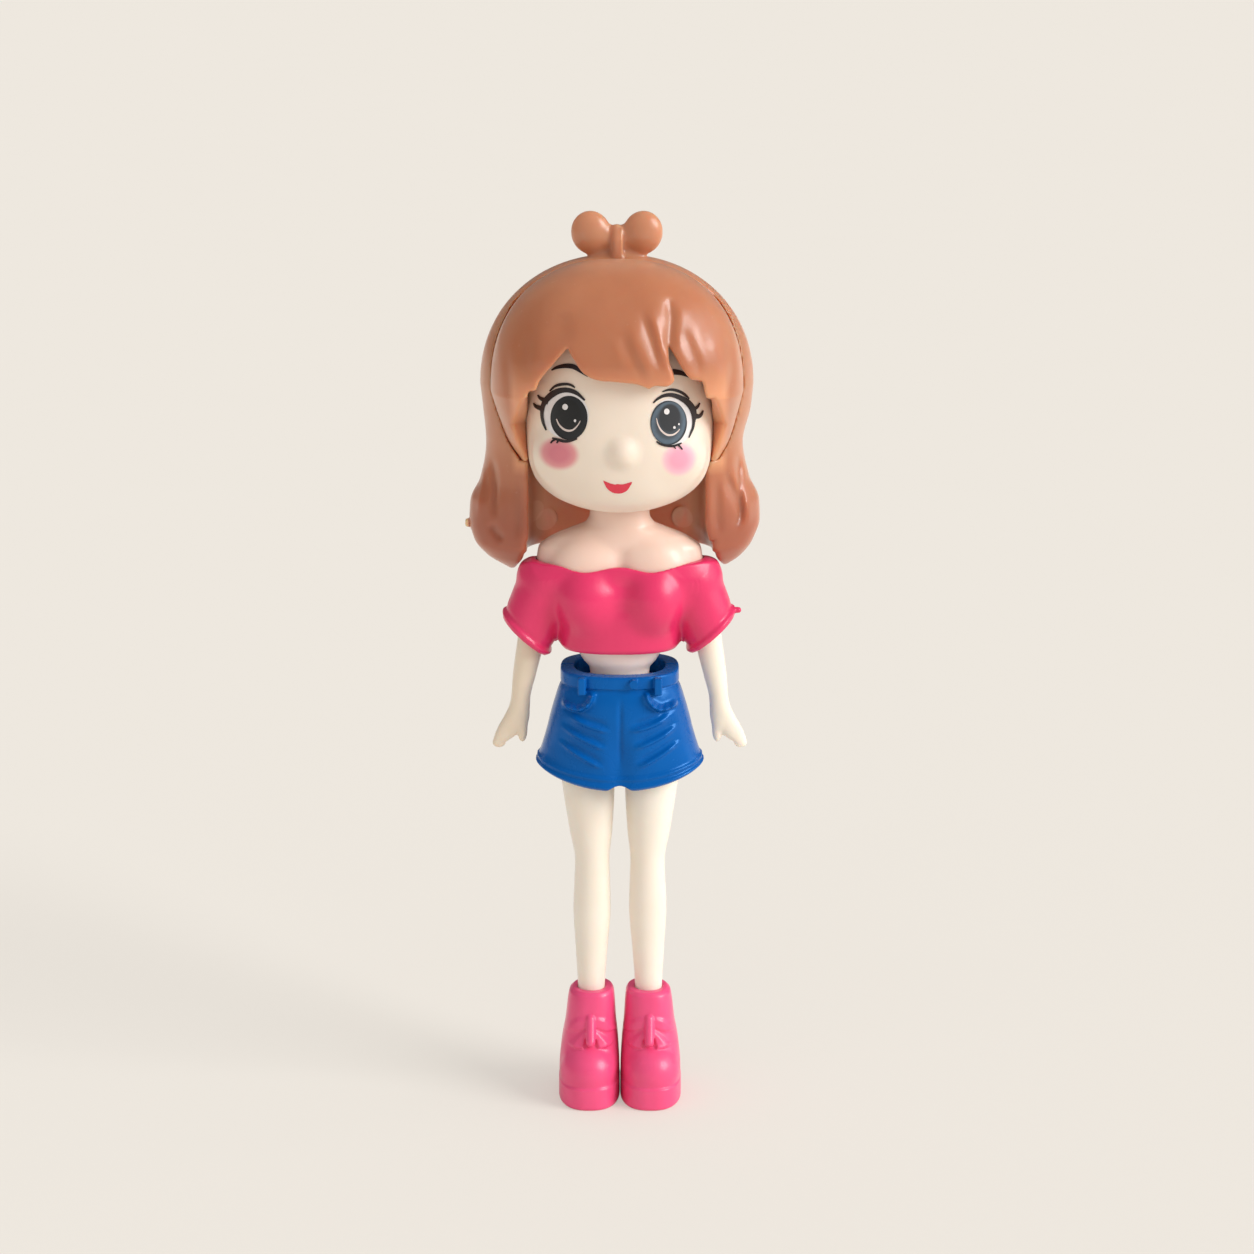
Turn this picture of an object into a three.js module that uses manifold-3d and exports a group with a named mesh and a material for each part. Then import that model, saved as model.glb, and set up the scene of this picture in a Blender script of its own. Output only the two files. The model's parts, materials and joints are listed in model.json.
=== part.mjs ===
// Fashion doll of moulded plastic: a two-shell head, a two-half body, pinned limbs,
// and hair, top, shorts and boots that come off.
// Millimetres, +Z up, soles at z = 0, face towards -Y, the doll's left arm at +X.
import * as THREE from 'three';
import { mergeVertices } from 'three/addons/utils/BufferGeometryUtils.js';
import Module from 'manifold-3d';

const wasm = await Module();
wasm.setup();

// Fits
const seatGap = 0.3;
const runGap = 0.35;
const far = 60;
const facetSlack = 0.08;

// Heights, each measured up from the one before it
const bootHeight = 19.0;
const bootToKnee = 22.6;
const kneeToHip = 21.9;
const hipToBelly = 10.1;
const bellyToArm = 16.3;
const armToShoulder = 3.5;
const shoulderToChin = 9.3;
const chinToEye = 17.3;
const eyeToCrown = 22.8;
const bowHeight = 7.3;

const kneeZ = bootHeight + bootToKnee;
const hipZ = kneeZ + kneeToHip;
const bellyZ = hipZ + hipToBelly;
const armZ = bellyZ + bellyToArm;
const shoulderZ = armZ + armToShoulder;
const chinZ = shoulderZ + shoulderToChin;
const eyeZ = chinZ + chinToEye;
const crownZ = eyeZ + eyeToCrown;

// Head and hair
const headHalf = 15.0;
const faceDepth = 14.4;
const napeDepth = 13.2;
const headWall = 1.4;
const headSplitY = 1.5;
const noseLength = 1.4;
const hairSkin = 2.8;
const hairHalf = 22.3;
const hairBackDepth = 17.6;
const hairFrontHalf = 20.0;
const fringeDepth = 17.2;
const lockForward = 4.5;
const lockDrop = 11.5;
const lockHalf = 23.6;
const lockGap = 15.1;
const napeWall = 2.3;
const faceWindowHalf = 14.7;
const napeHalf = 14.6;
const hairShoulder = 2.0;
const hairDome = 2.1;
const fringeDome = 2.3;
const strandDepth = 0.55;
const bowY = 3.8;
const bowLobe = 3.3;
const padRadius = 2.0;
const padDepth = 5.0;

// Body
const neckRadius = 4.9;
const neckDepth = 4.3;
const neckPlug = 2.3;
const shoulderHalf = 13.4;
const chestDepth = 6.3;
const bellyHalf = 7.0;
const stemHalf = 4.9;
const pelvisHalf = 8.8;
const pelvisDepth = 5.3;
const webHalf = 3.4;

// Limbs
const armRoot = 11.5;
const armDisc = 2.8;
const armDiscWidth = 2.4;
const armCap = 0.7;
const armSplay = 4.9;
const handSplay = 3.7;
const upperArm = 19.9;
const handLength = 7.9;
const upperArmHalf = 2.25;
const wristHalf = 1.6;
const legRoot = 3.8;
const legDisc = 4.5;
const thighHalf = 4.4;
const kneeHalf = 2.9;
const calfHalf = 3.15;
const ankleHalf = 2.3;
const footHalf = 1.95;
const bootFloor = 5.0;

// Clothes
const topWall = 1.1;
const topHemHalf = 9.6;
const topDepth = 7.5;
const shoulderEase = 0.9;
const sleeveHalf = 4.9;
const sleeveLength = 8.85;
const sleeveDepth = 5.6;
const sleeveLip = 0.35;
const topRise = 1.1;
const bustX = 5.4;
const bustDrop = 6.2;
const bustRise = 0.7;
const topHemRise = 5.3;
const shortsWall = 1.2;
const bandHalf = 9.8;
const bandDepth = 7.5;
const bandHeight = 2.1;
const bandRise = 1.6;
const bandLip = 2.3;
const shortsHemHalf = 13.8;
const shortsHemDepth = 9.0;
const shortsDrop = 7.3;
const hemRise = 1.6;
const hemBend = 6.0;
const foldDepth = 0.3;
const pocketWelt = 0.45;
const crotchStrip = 1.9;
const crotchArch = 4.2;
const crotchRise = 0.75;

// Boots
const bootCentre = 5.3;
const soleHalf = 5.1;
const toeReach = 9.7;
const heelReach = 6.8;
const soleHeight = 4.0;
const bootTopHalf = 3.7;

// Pins and studs
const pinShaft = 1.7;
const pinHead = 3.0;
const pinHeadThick = 1.2;
const hipStud = 1.6;
const hipStudHead = 2.4;
const armStud = 1.3;
const armStudHead = 2.0;
const studHeadThick = 1.0;

// The top clears the arms inside it
const topWidest = armRoot + armDiscWidth + armCap + shoulderEase + topWall;

const mix = (a, b, t) => a + (b - a) * t;

// A closed three.js geometry becomes a solid for cutting and joining
function solid(geometry) {
  const bare = geometry.index ? geometry.toNonIndexed() : geometry.clone();
  bare.deleteAttribute('normal');
  bare.deleteAttribute('uv');
  const merged = mergeVertices(bare, 1e-4);
  return new wasm.Manifold(new wasm.Mesh({
    numProp: 3,
    vertProperties: Float32Array.from(merged.attributes.position.array),
    triVerts: Uint32Array.from(merged.index.array),
  }));
}

const join = (...parts) => wasm.Manifold.union(parts);
const cut = (body, ...tools) => tools.reduce((left, tool) => left.subtract(tool), body);
const mirrored = (body) => body.mirror([1, 0, 0]);
const frontOf = (body, y) => body.trimByPlane([0, -1, 0], -y);
const behind = (body, y) => body.trimByPlane([0, 1, 0], y);
const above = (body, z) => body.trimByPlane([0, 0, 1], z);

// Slopes of a smooth curve that never overshoots its stations
function stationSlopes(rows, column) {
  const steps = rows.slice(1).map((row, i) => (row[column] - rows[i][column]) / (row[0] - rows[i][0]));
  return rows.map((row, i) => {
    if (i === 0) return steps[0];
    if (i === rows.length - 1) return steps[i - 1];
    const before = steps[i - 1];
    const after = steps[i];
    return before * after <= 0 ? 0 : (2 * before * after) / (before + after);
  });
}

function stationAt(rows, slopes, z) {
  let i = 0;
  while (i < rows.length - 2 && z > rows[i + 1][0]) i += 1;
  const span = rows[i + 1][0] - rows[i][0];
  const t = (z - rows[i][0]) / span;
  const blend = [2 * t ** 3 - 3 * t ** 2 + 1, t ** 3 - 2 * t ** 2 + t, 3 * t ** 2 - 2 * t ** 3, t ** 3 - t ** 2];
  return rows[0].map((_, k) => (k === 0 ? z : blend[0] * rows[i][k] + blend[1] * span * slopes[k][i]
    + blend[2] * rows[i + 1][k] + blend[3] * span * slopes[k][i + 1]));
}

// One ring of a loft, as a rounded oval between its four extents
function ovalRing([z, left, right, front, back], sides, power, shrink = 1, lift = 0) {
  const cx = (right - left) / 2;
  const cy = (back - front) / 2;
  const bend = (v) => Math.sign(v) * Math.abs(v) ** (2 / power);
  return Array.from({ length: sides }, (_, i) => {
    const angle = (2 * Math.PI * i) / sides;
    const x = cx + (shrink * (left + right) * bend(Math.cos(angle))) / 2;
    const y = cy + (shrink * (front + back) * bend(Math.sin(angle))) / 2;
    return new THREE.Vector3(x, y, z + lift);
  });
}

// Rings in order become one closed skin
function skin(rings, footRise = 0, headRise = 0) {
  const sides = rings[0].length;
  const points = rings.flat();
  const ends = [rings[0], rings[rings.length - 1]].map((ring) => ring
    .reduce((sum, p) => sum.add(p), new THREE.Vector3()).divideScalar(sides));
  ends[0].z -= footRise;
  ends[1].z += headRise;
  const faces = [];
  for (let r = 0; r < rings.length - 1; r += 1) {
    for (let i = 0; i < sides; i += 1) {
      const a = r * sides + i;
      const b = r * sides + ((i + 1) % sides);
      faces.push(a, b, b + sides, a, b + sides, a + sides);
    }
  }
  const last = (rings.length - 1) * sides;
  for (let i = 0; i < sides; i += 1) {
    const next = (i + 1) % sides;
    faces.push(points.length, next, i, points.length + 1, last + i, last + next);
  }
  const geometry = new THREE.BufferGeometry();
  geometry.setFromPoints([...points, ...ends]);
  geometry.setIndex(faces);
  return solid(geometry);
}

// A body swept up through oval stations [z, left, right, front, back], with domed ends if asked.
// Its rings lie at the stations, or evenly spaced where their count is given.
// A dome is a quarter ellipse in profile, or fuller with a higher dome power.
function loft(rows, plan = {}) {
  const { rings = 0, sides = 20, power = 2.2, foot = 0, head = 0 } = plan;
  const { footRings = 2, domeRings = 3, domePower = 2 } = plan;
  const slopes = rows[0].map((_, k) => (k === 0 ? [] : stationSlopes(rows, k)));
  const first = rows[0];
  const last = rows[rows.length - 1];
  const turns = (count) => Array.from({ length: count }, (_, i) => (Math.PI / 2) * ((i + 1) / (count + 0.9)));
  const inward = (a) => Math.cos(a) ** (2 / domePower);
  const upward = (a) => Math.sin(a) ** (2 / domePower);
  const stack = [];
  if (foot > 0) {
    turns(footRings).reverse()
      .forEach((a) => stack.push(ovalRing(first, sides, power, inward(a), -foot * upward(a))));
  }
  const heights = rings ? Array.from({ length: rings + 1 }, (_, i) => mix(first[0], last[0], i / rings))
    : rows.map(([z]) => z);
  heights.forEach((z) => stack.push(ovalRing(stationAt(rows, slopes, z), sides, power)));
  if (head > 0) {
    turns(domeRings).forEach((a) => stack.push(ovalRing(last, sides, power, inward(a), head * upward(a))));
  }
  const tip = (count) => 1 - upward(turns(count)[count - 1]);
  return skin(stack, foot * tip(footRings), head * tip(domeRings));
}

// The place on the front or the back of a loft, at an X and a Z
function onLoft(rows, { power = 2.2, head = 0, domePower = 2 }, x, z, way) {
  const slopes = rows[0].map((_, k) => (k === 0 ? [] : stationSlopes(rows, k)));
  const top = rows[rows.length - 1][0];
  const [, left, right, front, back] = stationAt(rows, slopes, Math.min(z, top));
  const shrink = z > top ? (1 - ((z - top) / head) ** domePower) ** (1 / domePower) : 1;
  const across = Math.abs(x - (right - left) / 2) / ((shrink * (left + right)) / 2);
  const deep = (1 - Math.min(across, 1) ** power) ** (1 / power);
  return new THREE.Vector3(x, (back - front) / 2 + (way * shrink * deep * (front + back)) / 2, z);
}

// A rod along a smooth curve, thinner towards both ends
function rod(points, radius, steps = 5, sides = 5) {
  const path = new THREE.CatmullRomCurve3(points);
  const { normals, binormals } = path.computeFrenetFrames(steps);
  return skin(Array.from({ length: steps + 1 }, (_, i) => {
    const half = radius * mix(0.2, 1, Math.sin((Math.PI * i) / steps));
    return Array.from({ length: sides }, (__, k) => {
      const angle = (2 * Math.PI * k) / sides;
      return path.getPointAt(i / steps).addScaledVector(normals[i], half * Math.cos(angle))
        .addScaledVector(binormals[i], half * Math.sin(angle));
    });
  }));
}

// The same stations, each side moved outwards by a distance
const grown = (rows, by) => rows.map(([z, ...sides]) => [z, ...sides.map((side) => side + by)]);

// A round bar from one place to another along X, Y or Z
function bar(axis, radius, from, to, centre, sides = 12) {
  const geometry = new THREE.CylinderGeometry(radius, radius, Math.abs(to - from), sides);
  if (axis === 'x') geometry.rotateZ(Math.PI / 2);
  if (axis === 'z') geometry.rotateX(Math.PI / 2);
  const place = new THREE.Vector3(...centre);
  place[axis] = (from + to) / 2;
  geometry.translate(place.x, place.y, place.z);
  return solid(geometry);
}

function block(x0, x1, y0, y1, z0, z1) {
  const geometry = new THREE.BoxGeometry(x1 - x0, y1 - y0, z1 - z0);
  geometry.translate((x0 + x1) / 2, (y0 + y1) / 2, (z0 + z1) / 2);
  return solid(geometry);
}

function ball(centre, radii, sides = 16, turn = 0) {
  const geometry = new THREE.SphereGeometry(1, sides, Math.round(sides * 0.6));
  geometry.rotateX(Math.PI / 2);
  geometry.scale(...radii);
  geometry.rotateY(turn);
  geometry.translate(...centre);
  return solid(geometry);
}

// A drawing in X and Z, pushed through the doll from y0 to y1
function prism(shape, y0, y1, curveSegments = 5) {
  const geometry = new THREE.ExtrudeGeometry(shape, { depth: y1 - y0, bevelEnabled: false, curveSegments });
  geometry.rotateX(Math.PI / 2);
  geometry.translate(0, y1, 0);
  return solid(geometry);
}

// A locating peg at the split between a front and a rear half, and the socket it enters
const pegAt = (x, z, radius, splitY, length) => bar('y', radius, splitY - length, splitY + length, [x, 0, z], 6);

// Head: front and rear shells around a hollow, with a floor that the neck pin holds
const headRows = [
  [chinZ + 2.5, 10.2, 10.2, 12.2, 7.5],
  [chinZ + 5.3, 13.4, 13.4, 13.3, 10.0],
  [chinZ + 8.3, 14.6, 14.6, 13.9, 11.6],
  [eyeZ - 5.0, headHalf - 0.1, headHalf - 0.1, faceDepth - 0.1, napeDepth - 0.4],
  [eyeZ, headHalf, headHalf, faceDepth, napeDepth],
  [eyeZ + 6.0, headHalf - 0.3, headHalf - 0.3, faceDepth - 0.3, napeDepth - 0.4],
  [eyeZ + 11.0, headHalf - 1.7, headHalf - 1.7, faceDepth - 1.8, napeDepth - 1.8],
  [crownZ - 8.8, headHalf - 3.1, headHalf - 3.1, faceDepth - 3.2, napeDepth - 3.0],
];
const headDome = 8.8 - hairSkin;
const chinDome = 2.5;
const headPlan = { rings: 6, sides: 20, power: 2.3, footRings: 3, foot: chinDome, head: headDome };
const plugTop = chinZ + neckPlug;
const headFloor = plugTop + seatGap + headWall;
const headSolid = loft(headRows, headPlan);
const headRoomPlan = { ...headPlan, foot: chinDome + seatGap, head: headDome + seatGap };
const headRoom = loft(grown(headRows, seatGap), headRoomPlan);
const cavityRows = grown(headRows.slice(2), -headWall);
const headCavity = loft(cavityRows, { rings: 3, sides: 14, power: 2.3, foot: cavityRows[0][0] - headFloor,
  head: headDome - headWall });
const nose = ball([0, -faceDepth + 0.9, eyeZ - 6.4], [3.2, noseLength + 0.9, 3.2], 12);
const neckRecess = bar('z', neckRadius + runGap, chinZ - 2, plugTop + seatGap, [0, 0, 0], 20);
const neckHole = bar('z', pinShaft + runGap, chinZ, headFloor + 1, [0, 0, 0], 10);
const pinRoom = bar('z', pinHead + seatGap, headFloor, headFloor + pinHeadThick + 2 * runGap, [0, 0, 0], 16);
const headPostX = 8.5;
const headPostZ = eyeZ + 4;
const headPosts = (radius) => [-headPostX, headPostX]
  .map((x) => bar('y', radius, -far, far, [x, 0, headPostZ], 8));
const postRadius = 1.3;
const postPeg = 0.8;
const pegLength = 1.4;

function faceShell() {
  const shell = cut(headSolid, headCavity);
  const posts = headPosts(postRadius).map((post) => post.intersect(headSolid));
  const half = frontOf(cut(join(shell, nose, ...posts), neckRecess, neckHole, pinRoom), headSplitY);
  const pegs = [-headPostX, headPostX].map((x) => pegAt(x, headPostZ, postPeg, headSplitY, pegLength));
  return join(half, ...pegs);
}

function headBackShell() {
  const shell = cut(headSolid, headCavity);
  const posts = headPosts(postRadius + 0.5).map((post) => post.intersect(headSolid));
  const sockets = [-headPostX, headPostX]
    .map((x) => pegAt(x, headPostZ, postPeg + 0.2, headSplitY, pegLength + 0.2));
  return behind(cut(join(shell, ...posts), neckRecess, neckHole, pinRoom, ...sockets), headSplitY);
}

// Hair: outer stations, wider to the doll's right below the ears, under one tall dome
const hairRows = [
  [chinZ - lockDrop + 1.0, lockHalf - 4.6, lockHalf - 6.5, 1.5, 10.0],
  [chinZ - lockDrop + 3.0, lockHalf - 1.9, lockHalf - 4.2, 3.2, 11.8],
  [chinZ - lockDrop + 5.1, lockHalf - 0.2, lockHalf - 2.2, lockForward, 13.2],
  [chinZ - 3.4, lockHalf + 0.6, lockHalf - 0.9, lockForward, 14.5],
  [chinZ - 0.4, lockHalf + 0.4, lockHalf - 0.8, lockForward, 15.2],
  [chinZ + 3.6, lockHalf - 0.8, lockHalf - 2.3, lockForward + 0.4, 16.1],
  [chinZ + 9.6, lockHalf - 1.7, lockHalf - 3.4, lockForward + 1.8, hairBackDepth - 0.8],
  [eyeZ - 2.0, hairHalf, hairHalf - 0.9, lockForward + 3.6, hairBackDepth - 0.1],
  [eyeZ + hairShoulder, hairHalf + 0.4, hairHalf - 0.5, lockForward + 4.5, hairBackDepth],
];
const crownDome = eyeToCrown - hairShoulder;
const hairPlan = { rings: 9, sides: 24, power: 2.25, head: crownDome, domeRings: 5, domePower: hairDome };
const fringeRows = [
  [chinZ + 7.6, hairFrontHalf - 4.4, hairFrontHalf - 4.4, 9.0, 9.0],
  [chinZ + 10.9, hairFrontHalf - 2.7, hairFrontHalf - 2.9, 11.0, 10.5],
  [eyeZ - 2.0, hairFrontHalf - 0.8, hairFrontHalf - 1.3, fringeDepth - 3.0, 11.5],
  [eyeZ + hairShoulder, hairFrontHalf + 0.7, hairFrontHalf - 0.1, fringeDepth, 12.2],
];
const fringePlan = { rings: 4, sides: 24, power: 2.25, head: crownDome, domeRings: 5, domePower: fringeDome };

// The opening that the hair leaves round the face: a sweep to one side, a notch and a curtain
function faceWindow() {
  const low = chinZ - far / 2;
  const shape = new THREE.Shape();
  shape.moveTo(-faceWindowHalf, low);
  shape.lineTo(-faceWindowHalf, eyeZ + 2.6);
  shape.quadraticCurveTo(-13.2, eyeZ + 6.0, -8.0, eyeZ + 10.6);
  shape.quadraticCurveTo(-6.6, eyeZ + 6.4, -2.8, eyeZ + 5.5);
  shape.lineTo(2.3, eyeZ + 5.1);
  shape.quadraticCurveTo(5.5, eyeZ + 4.0, 8.6, eyeZ + 5.7);
  shape.quadraticCurveTo(8.2, eyeZ + 8.5, 7.7, eyeZ + 10.8);
  shape.quadraticCurveTo(9.6, eyeZ + 6.6, 12.6, eyeZ + 5.9);
  shape.quadraticCurveTo(13.4, eyeZ + 3.4, faceWindowHalf, eyeZ + 1.4);
  shape.lineTo(faceWindowHalf, low);
  return prism(shape, -far, -1);
}

// Grooves between the strands of the fringe, its parting and the curtains beside it, up from the eye line
const fringeStrands = [
  [[0.5, 13.6], [1.4, 10.4], [2.9, 7.6], [4.4, 4.6]],
  [[2.6, 15.9], [3.7, 12.2], [5.2, 8.8], [6.9, 5.4]],
  [[3.9, 17.2], [5.1, 14.6], [6.3, 11.5], [7.1, 9.7]],
  [[7.2, 18.3], [8.1, 15.2], [7.8, 12.2], [7.9, 10.0]],
  [[9.7, 13.1], [10.9, 10.4], [12.1, 7.6]],
  [[16.9, 11.2], [17.5, 8.2], [17.9, 5.4], [16.6, 1.8]],
  [[-15.0, 11.2], [-15.5, 8.1], [-15.0, 4.0]],
];

function hairFront() {
  const cap = frontOf(loft(fringeRows, fringePlan), headSplitY);
  const grooves = fringeStrands.map((line) => rod(
    line.map(([x, up]) => onLoft(fringeRows, fringePlan, x, eyeZ + up, -1)),
    strandDepth,
  ));
  return cut(cap, headRoom, faceWindow(), ...grooves);
}

// A rounded bow of two lobes and a knot, moulded on the crown of the rear hair
function crownBow() {
  const lobeTop = crownZ + bowHeight;
  const lobeZ = lobeTop - bowLobe * 1.12;
  const lobes = [-1.28, 1.2].map((side) => ball([side * bowLobe - 0.3, bowY, lobeZ],
    [bowLobe, 1.9, bowLobe * 1.12], 12, side * 0.12));
  const knot = ball([-0.4, bowY, lobeZ - 0.9], [1.0, 2.3, 2.6], 8);
  const root = ball([-0.4, bowY, crownZ - 0.4], [3.4, 2.1, 1.9], 9);
  return join(...lobes, knot, root);
}

// Grooves between the locks: two on each side lock in front, and long waves down the back, up from the chin
const lockStrands = [
  [[-20.8, 8.0], [-20.2, 2.5], [-20.6, -2.4]],
  [[19.2, 8.6], [19.6, 3.2], [20.2, -2.2]],
];
const backStrands = [-13.5, -4.6, 4.4, 13.3].map((x) => [[x * 0.72, 28.0], [x, 17.0], [x * 1.06, 7.0],
  [x * 0.98, -1.0], [x * 0.86, -8.0]]);

// The rear hair wraps the rear edge of the front hair, so its room runs straight forward from the split
function hairBack() {
  const outer = loft(hairRows, { ...hairPlan, foot: 1.0, footRings: 1 });
  const roomRows = grown(fringeRows, seatGap);
  const frontRoom = frontOf(loft(roomRows.map(([z, left, right]) => [z, left, right, far, far]),
    { ...fringePlan, head: crownDome + seatGap }), headSplitY);
  const lapRoom = above(frontRoom, fringeRows[0][0] - seatGap);
  const sideRoom = behind(loft(roomRows.slice(1)
    .map(([z, left, right]) => [z, left, right, napeDepth, napeDepth - 0.5]),
  { ...fringePlan, rings: 3, sides: 18, domeRings: 3, head: crownDome - hairSkin }), 0);
  const nape = loft([
    [chinZ - lockDrop - 2, lockGap, lockGap, 8.0, 8.0],
    [chinZ - lockDrop + 3, lockGap, lockGap, 11.8 - napeWall, 11.8 - napeWall],
    [chinZ - 2, lockGap, lockGap, napeHalf - napeWall, napeHalf - napeWall],
    [chinZ + 9, lockGap, lockGap, napeHalf - napeWall, napeHalf - napeWall],
  ], { rings: 3, sides: 18, power: 2.4 });
  const throat = block(-lockGap, lockGap, -far, 0.5, chinZ - lockDrop - 2, chinZ + 9);
  const turnHalf = topWidest + 0.6;
  const turnRoom = join(bar('z', turnHalf, 0, shoulderZ + topRise, [0, 0, 0], 24),
    block(-turnHalf, turnHalf, 0, far, 0, shoulderZ + topRise));
  const pads = [[-11.7, chinZ - 6.6], [-14.1, chinZ - 5.7], [10.1, chinZ - 6.6]]
    .map(([x, z]) => bar('y', padRadius, napeHalf - padDepth, napeHalf, [x, 0, z], 12).intersect(outer));
  const onHair = (line, way) => line.map(([x, up]) => onLoft(hairRows, hairPlan, x, chinZ + up, way));
  const strands = [...lockStrands.map((line) => onHair(line, -1)), ...backStrands.map((line) => onHair(line, 1))];
  const grooves = strands.map((line) => rod(line, strandDepth));
  const shell = cut(join(outer, crownBow()), nape, throat, sideRoom, ...grooves);
  return cut(join(shell, ...pads), headRoom, lapRoom, turnRoom);
}

// Body: two halves with a cavity and pockets that trap the pins and the arm studs
const torsoRows = [
  [bellyZ, stemHalf - 0.1, stemHalf - 0.1, 4.3, 4.0],
  [bellyZ + 1.6, stemHalf + 0.1, stemHalf + 0.1, 4.5, 4.2],
  [bellyZ + 3.1, bellyHalf - 0.9, bellyHalf - 0.9, 5.0, 4.5],
  [bellyZ + 4.8, bellyHalf, bellyHalf, 5.3, 4.7],
  [bellyZ + 7.6, 7.8, 7.8, 5.8, 5.0],
  [bellyZ + 0.7 * bellyToArm, 9.0, 9.0, chestDepth, 5.4],
  [armZ - 1.2, shoulderHalf - 3.0, shoulderHalf - 3.0, chestDepth, 5.6],
  [shoulderZ - 1.4, shoulderHalf - 1.1, shoulderHalf - 1.1, chestDepth - 0.5, 5.5],
  [shoulderZ, shoulderHalf - 0.1, shoulderHalf - 0.1, chestDepth - 0.8, 5.3],
  [shoulderZ + 2.1, shoulderHalf - 0.5, shoulderHalf - 0.5, 5.0, 5.0],
  [shoulderZ + 4.0, shoulderHalf - 2.5, shoulderHalf - 2.5, 4.6, 4.8],
  [shoulderZ + 5.2, neckRadius + 3.0, neckRadius + 3.0, 4.4, 4.6],
  [shoulderZ + 6.2, neckRadius + 0.7, neckRadius + 0.7, neckDepth, 4.4],
  [shoulderZ + 7.6, neckRadius, neckRadius, neckDepth, neckDepth],
  [plugTop, neckRadius - 0.1, neckRadius - 0.1, neckDepth, neckDepth],
];
const waistPinZ = bellyZ + 5.6;
const neckPinZ = shoulderZ + 2.0;
const armSocketDepth = 4.0;

const torsoPlan = { rings: 11, sides: 14, power: 2.15 };

function torsoSolid() {
  const body = loft(torsoRows, torsoPlan);
  const armSeat = block(armRoot - seatGap, far, -far, far, bellyZ, armZ + armDisc + runGap);
  const core = loft([[bellyZ + 9.5, 4.6, 4.6, 3.6, 3.2], [armZ - 4.0, 5.6, 5.6, 4.2, 3.8]],
    { rings: 2, sides: 12, foot: 1.5, head: 1.2 });
  const armBore = join(
    bar('x', armStud + seatGap, armRoot - armSocketDepth + 1, far, [0, 0, armZ], 12),
    bar('x', armStudHead + seatGap, armRoot - armSocketDepth - seatGap,
      armRoot - armSocketDepth + studHeadThick + seatGap, [0, 0, armZ], 10),
  );
  const waistPocket = join(
    bar('z', pinShaft + seatGap, bellyZ - 1, waistPinZ + 0.5, [0, 0, 0], 10),
    bar('z', pinHead + seatGap, waistPinZ - seatGap, waistPinZ + pinHeadThick + seatGap, [0, 0, 0], 10),
  );
  const neckPocket = join(
    bar('z', pinShaft + seatGap, neckPinZ, plugTop + 1, [0, 0, 0], 10),
    bar('z', pinHead + seatGap, neckPinZ - seatGap, neckPinZ + pinHeadThick + seatGap, [0, 0, 0], 10),
  );
  return cut(body, armSeat, mirrored(armSeat), core, armBore, mirrored(armBore), waistPocket, neckPocket);
}

const bodyPegZ = [bellyZ + 8.0, armZ + 2.6];
const bodyPeg = 0.8;

function torsoFront() {
  return join(frontOf(torsoSolid(), 0), ...bodyPegZ.map((z) => pegAt(0, z, bodyPeg, 0, pegLength)));
}

function torsoBack() {
  return cut(behind(torsoSolid(), 0), ...bodyPegZ.map((z) => pegAt(0, z, bodyPeg + 0.2, 0, pegLength + 0.2)));
}

// Pelvis: a bowl that carries the waist pin over a narrow web that carries the hip studs
const legTopZ = hipZ + legDisc;
const pelvisTop = bellyZ - runGap;
const pelvisPinZ = legTopZ - 0.6;
const hipStudHeadX = 0.4;

function pelvisSolid() {
  const bowl = loft([
    [legTopZ + 0.4, pelvisHalf - 1.3, pelvisHalf - 1.3, pelvisDepth - 0.5, pelvisDepth - 0.5],
    [legTopZ + 1.4, pelvisHalf, pelvisHalf, pelvisDepth, pelvisDepth - 0.1],
    [legTopZ + 3.2, pelvisHalf - 0.8, pelvisHalf - 0.8, pelvisDepth, pelvisDepth - 0.2],
    [pelvisTop, pelvisHalf - 2.2, pelvisHalf - 2.2, pelvisDepth - 0.5, pelvisDepth - 0.5],
  ], { rings: 4, sides: 20 });
  const web = loft([
    [hipZ - 4.8, webHalf - 1.9, webHalf - 1.9, 3.0, 3.0],
    [hipZ - 3.2, webHalf - 0.5, webHalf - 0.5, 4.2, 4.2],
    [hipZ, webHalf, webHalf, pelvisDepth - 0.3, pelvisDepth - 0.3],
    [legTopZ + 1.5, webHalf, webHalf, pelvisDepth - 0.3, pelvisDepth - 0.3],
  ], { rings: 4, sides: 16, power: 3 });
  const studBore = join(
    bar('x', hipStud + seatGap, -far, far, [0, 0, hipZ], 10),
    bar('x', hipStudHead + seatGap, -hipStudHeadX - studHeadThick - seatGap, hipStudHeadX + studHeadThick + seatGap,
      [0, 0, hipZ], 10),
  );
  const waistPocket = join(
    bar('z', pinShaft + seatGap, pelvisPinZ, far * 2, [0, 0, 0], 10),
    bar('z', pinHead + seatGap, pelvisPinZ - seatGap, pelvisPinZ + pinHeadThick + seatGap, [0, 0, 0], 10),
  );
  return cut(join(bowl, web), studBore, waistPocket);
}

const pelvisPegX = 6.0;
const pelvisPegZ = legTopZ + 2.4;

function pelvisFront() {
  return join(frontOf(pelvisSolid(), 0),
    ...[-pelvisPegX, pelvisPegX].map((x) => pegAt(x, pelvisPegZ, bodyPeg, 0, pegLength)));
}

function pelvisBack() {
  return cut(behind(pelvisSolid(), 0),
    ...[-pelvisPegX, pelvisPegX].map((x) => pegAt(x, pelvisPegZ, bodyPeg + 0.2, 0, pegLength + 0.2)));
}

// A pin with a flat head at each end
function pin(lowZ, highZ) {
  return join(
    bar('z', pinHead, lowZ, lowZ + pinHeadThick, [0, 0, 0], 10),
    bar('z', pinShaft, lowZ, highZ + pinHeadThick, [0, 0, 0], 10),
    bar('z', pinHead, highZ, highZ + pinHeadThick, [0, 0, 0], 10),
  );
}

// Arm of the +X side: shoulder disc and stud, a tapering arm and a mitten hand with a thumb
const stationOf = (z, centre, half, front, back = front) => [z, half - centre, half + centre, front, back];

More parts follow.
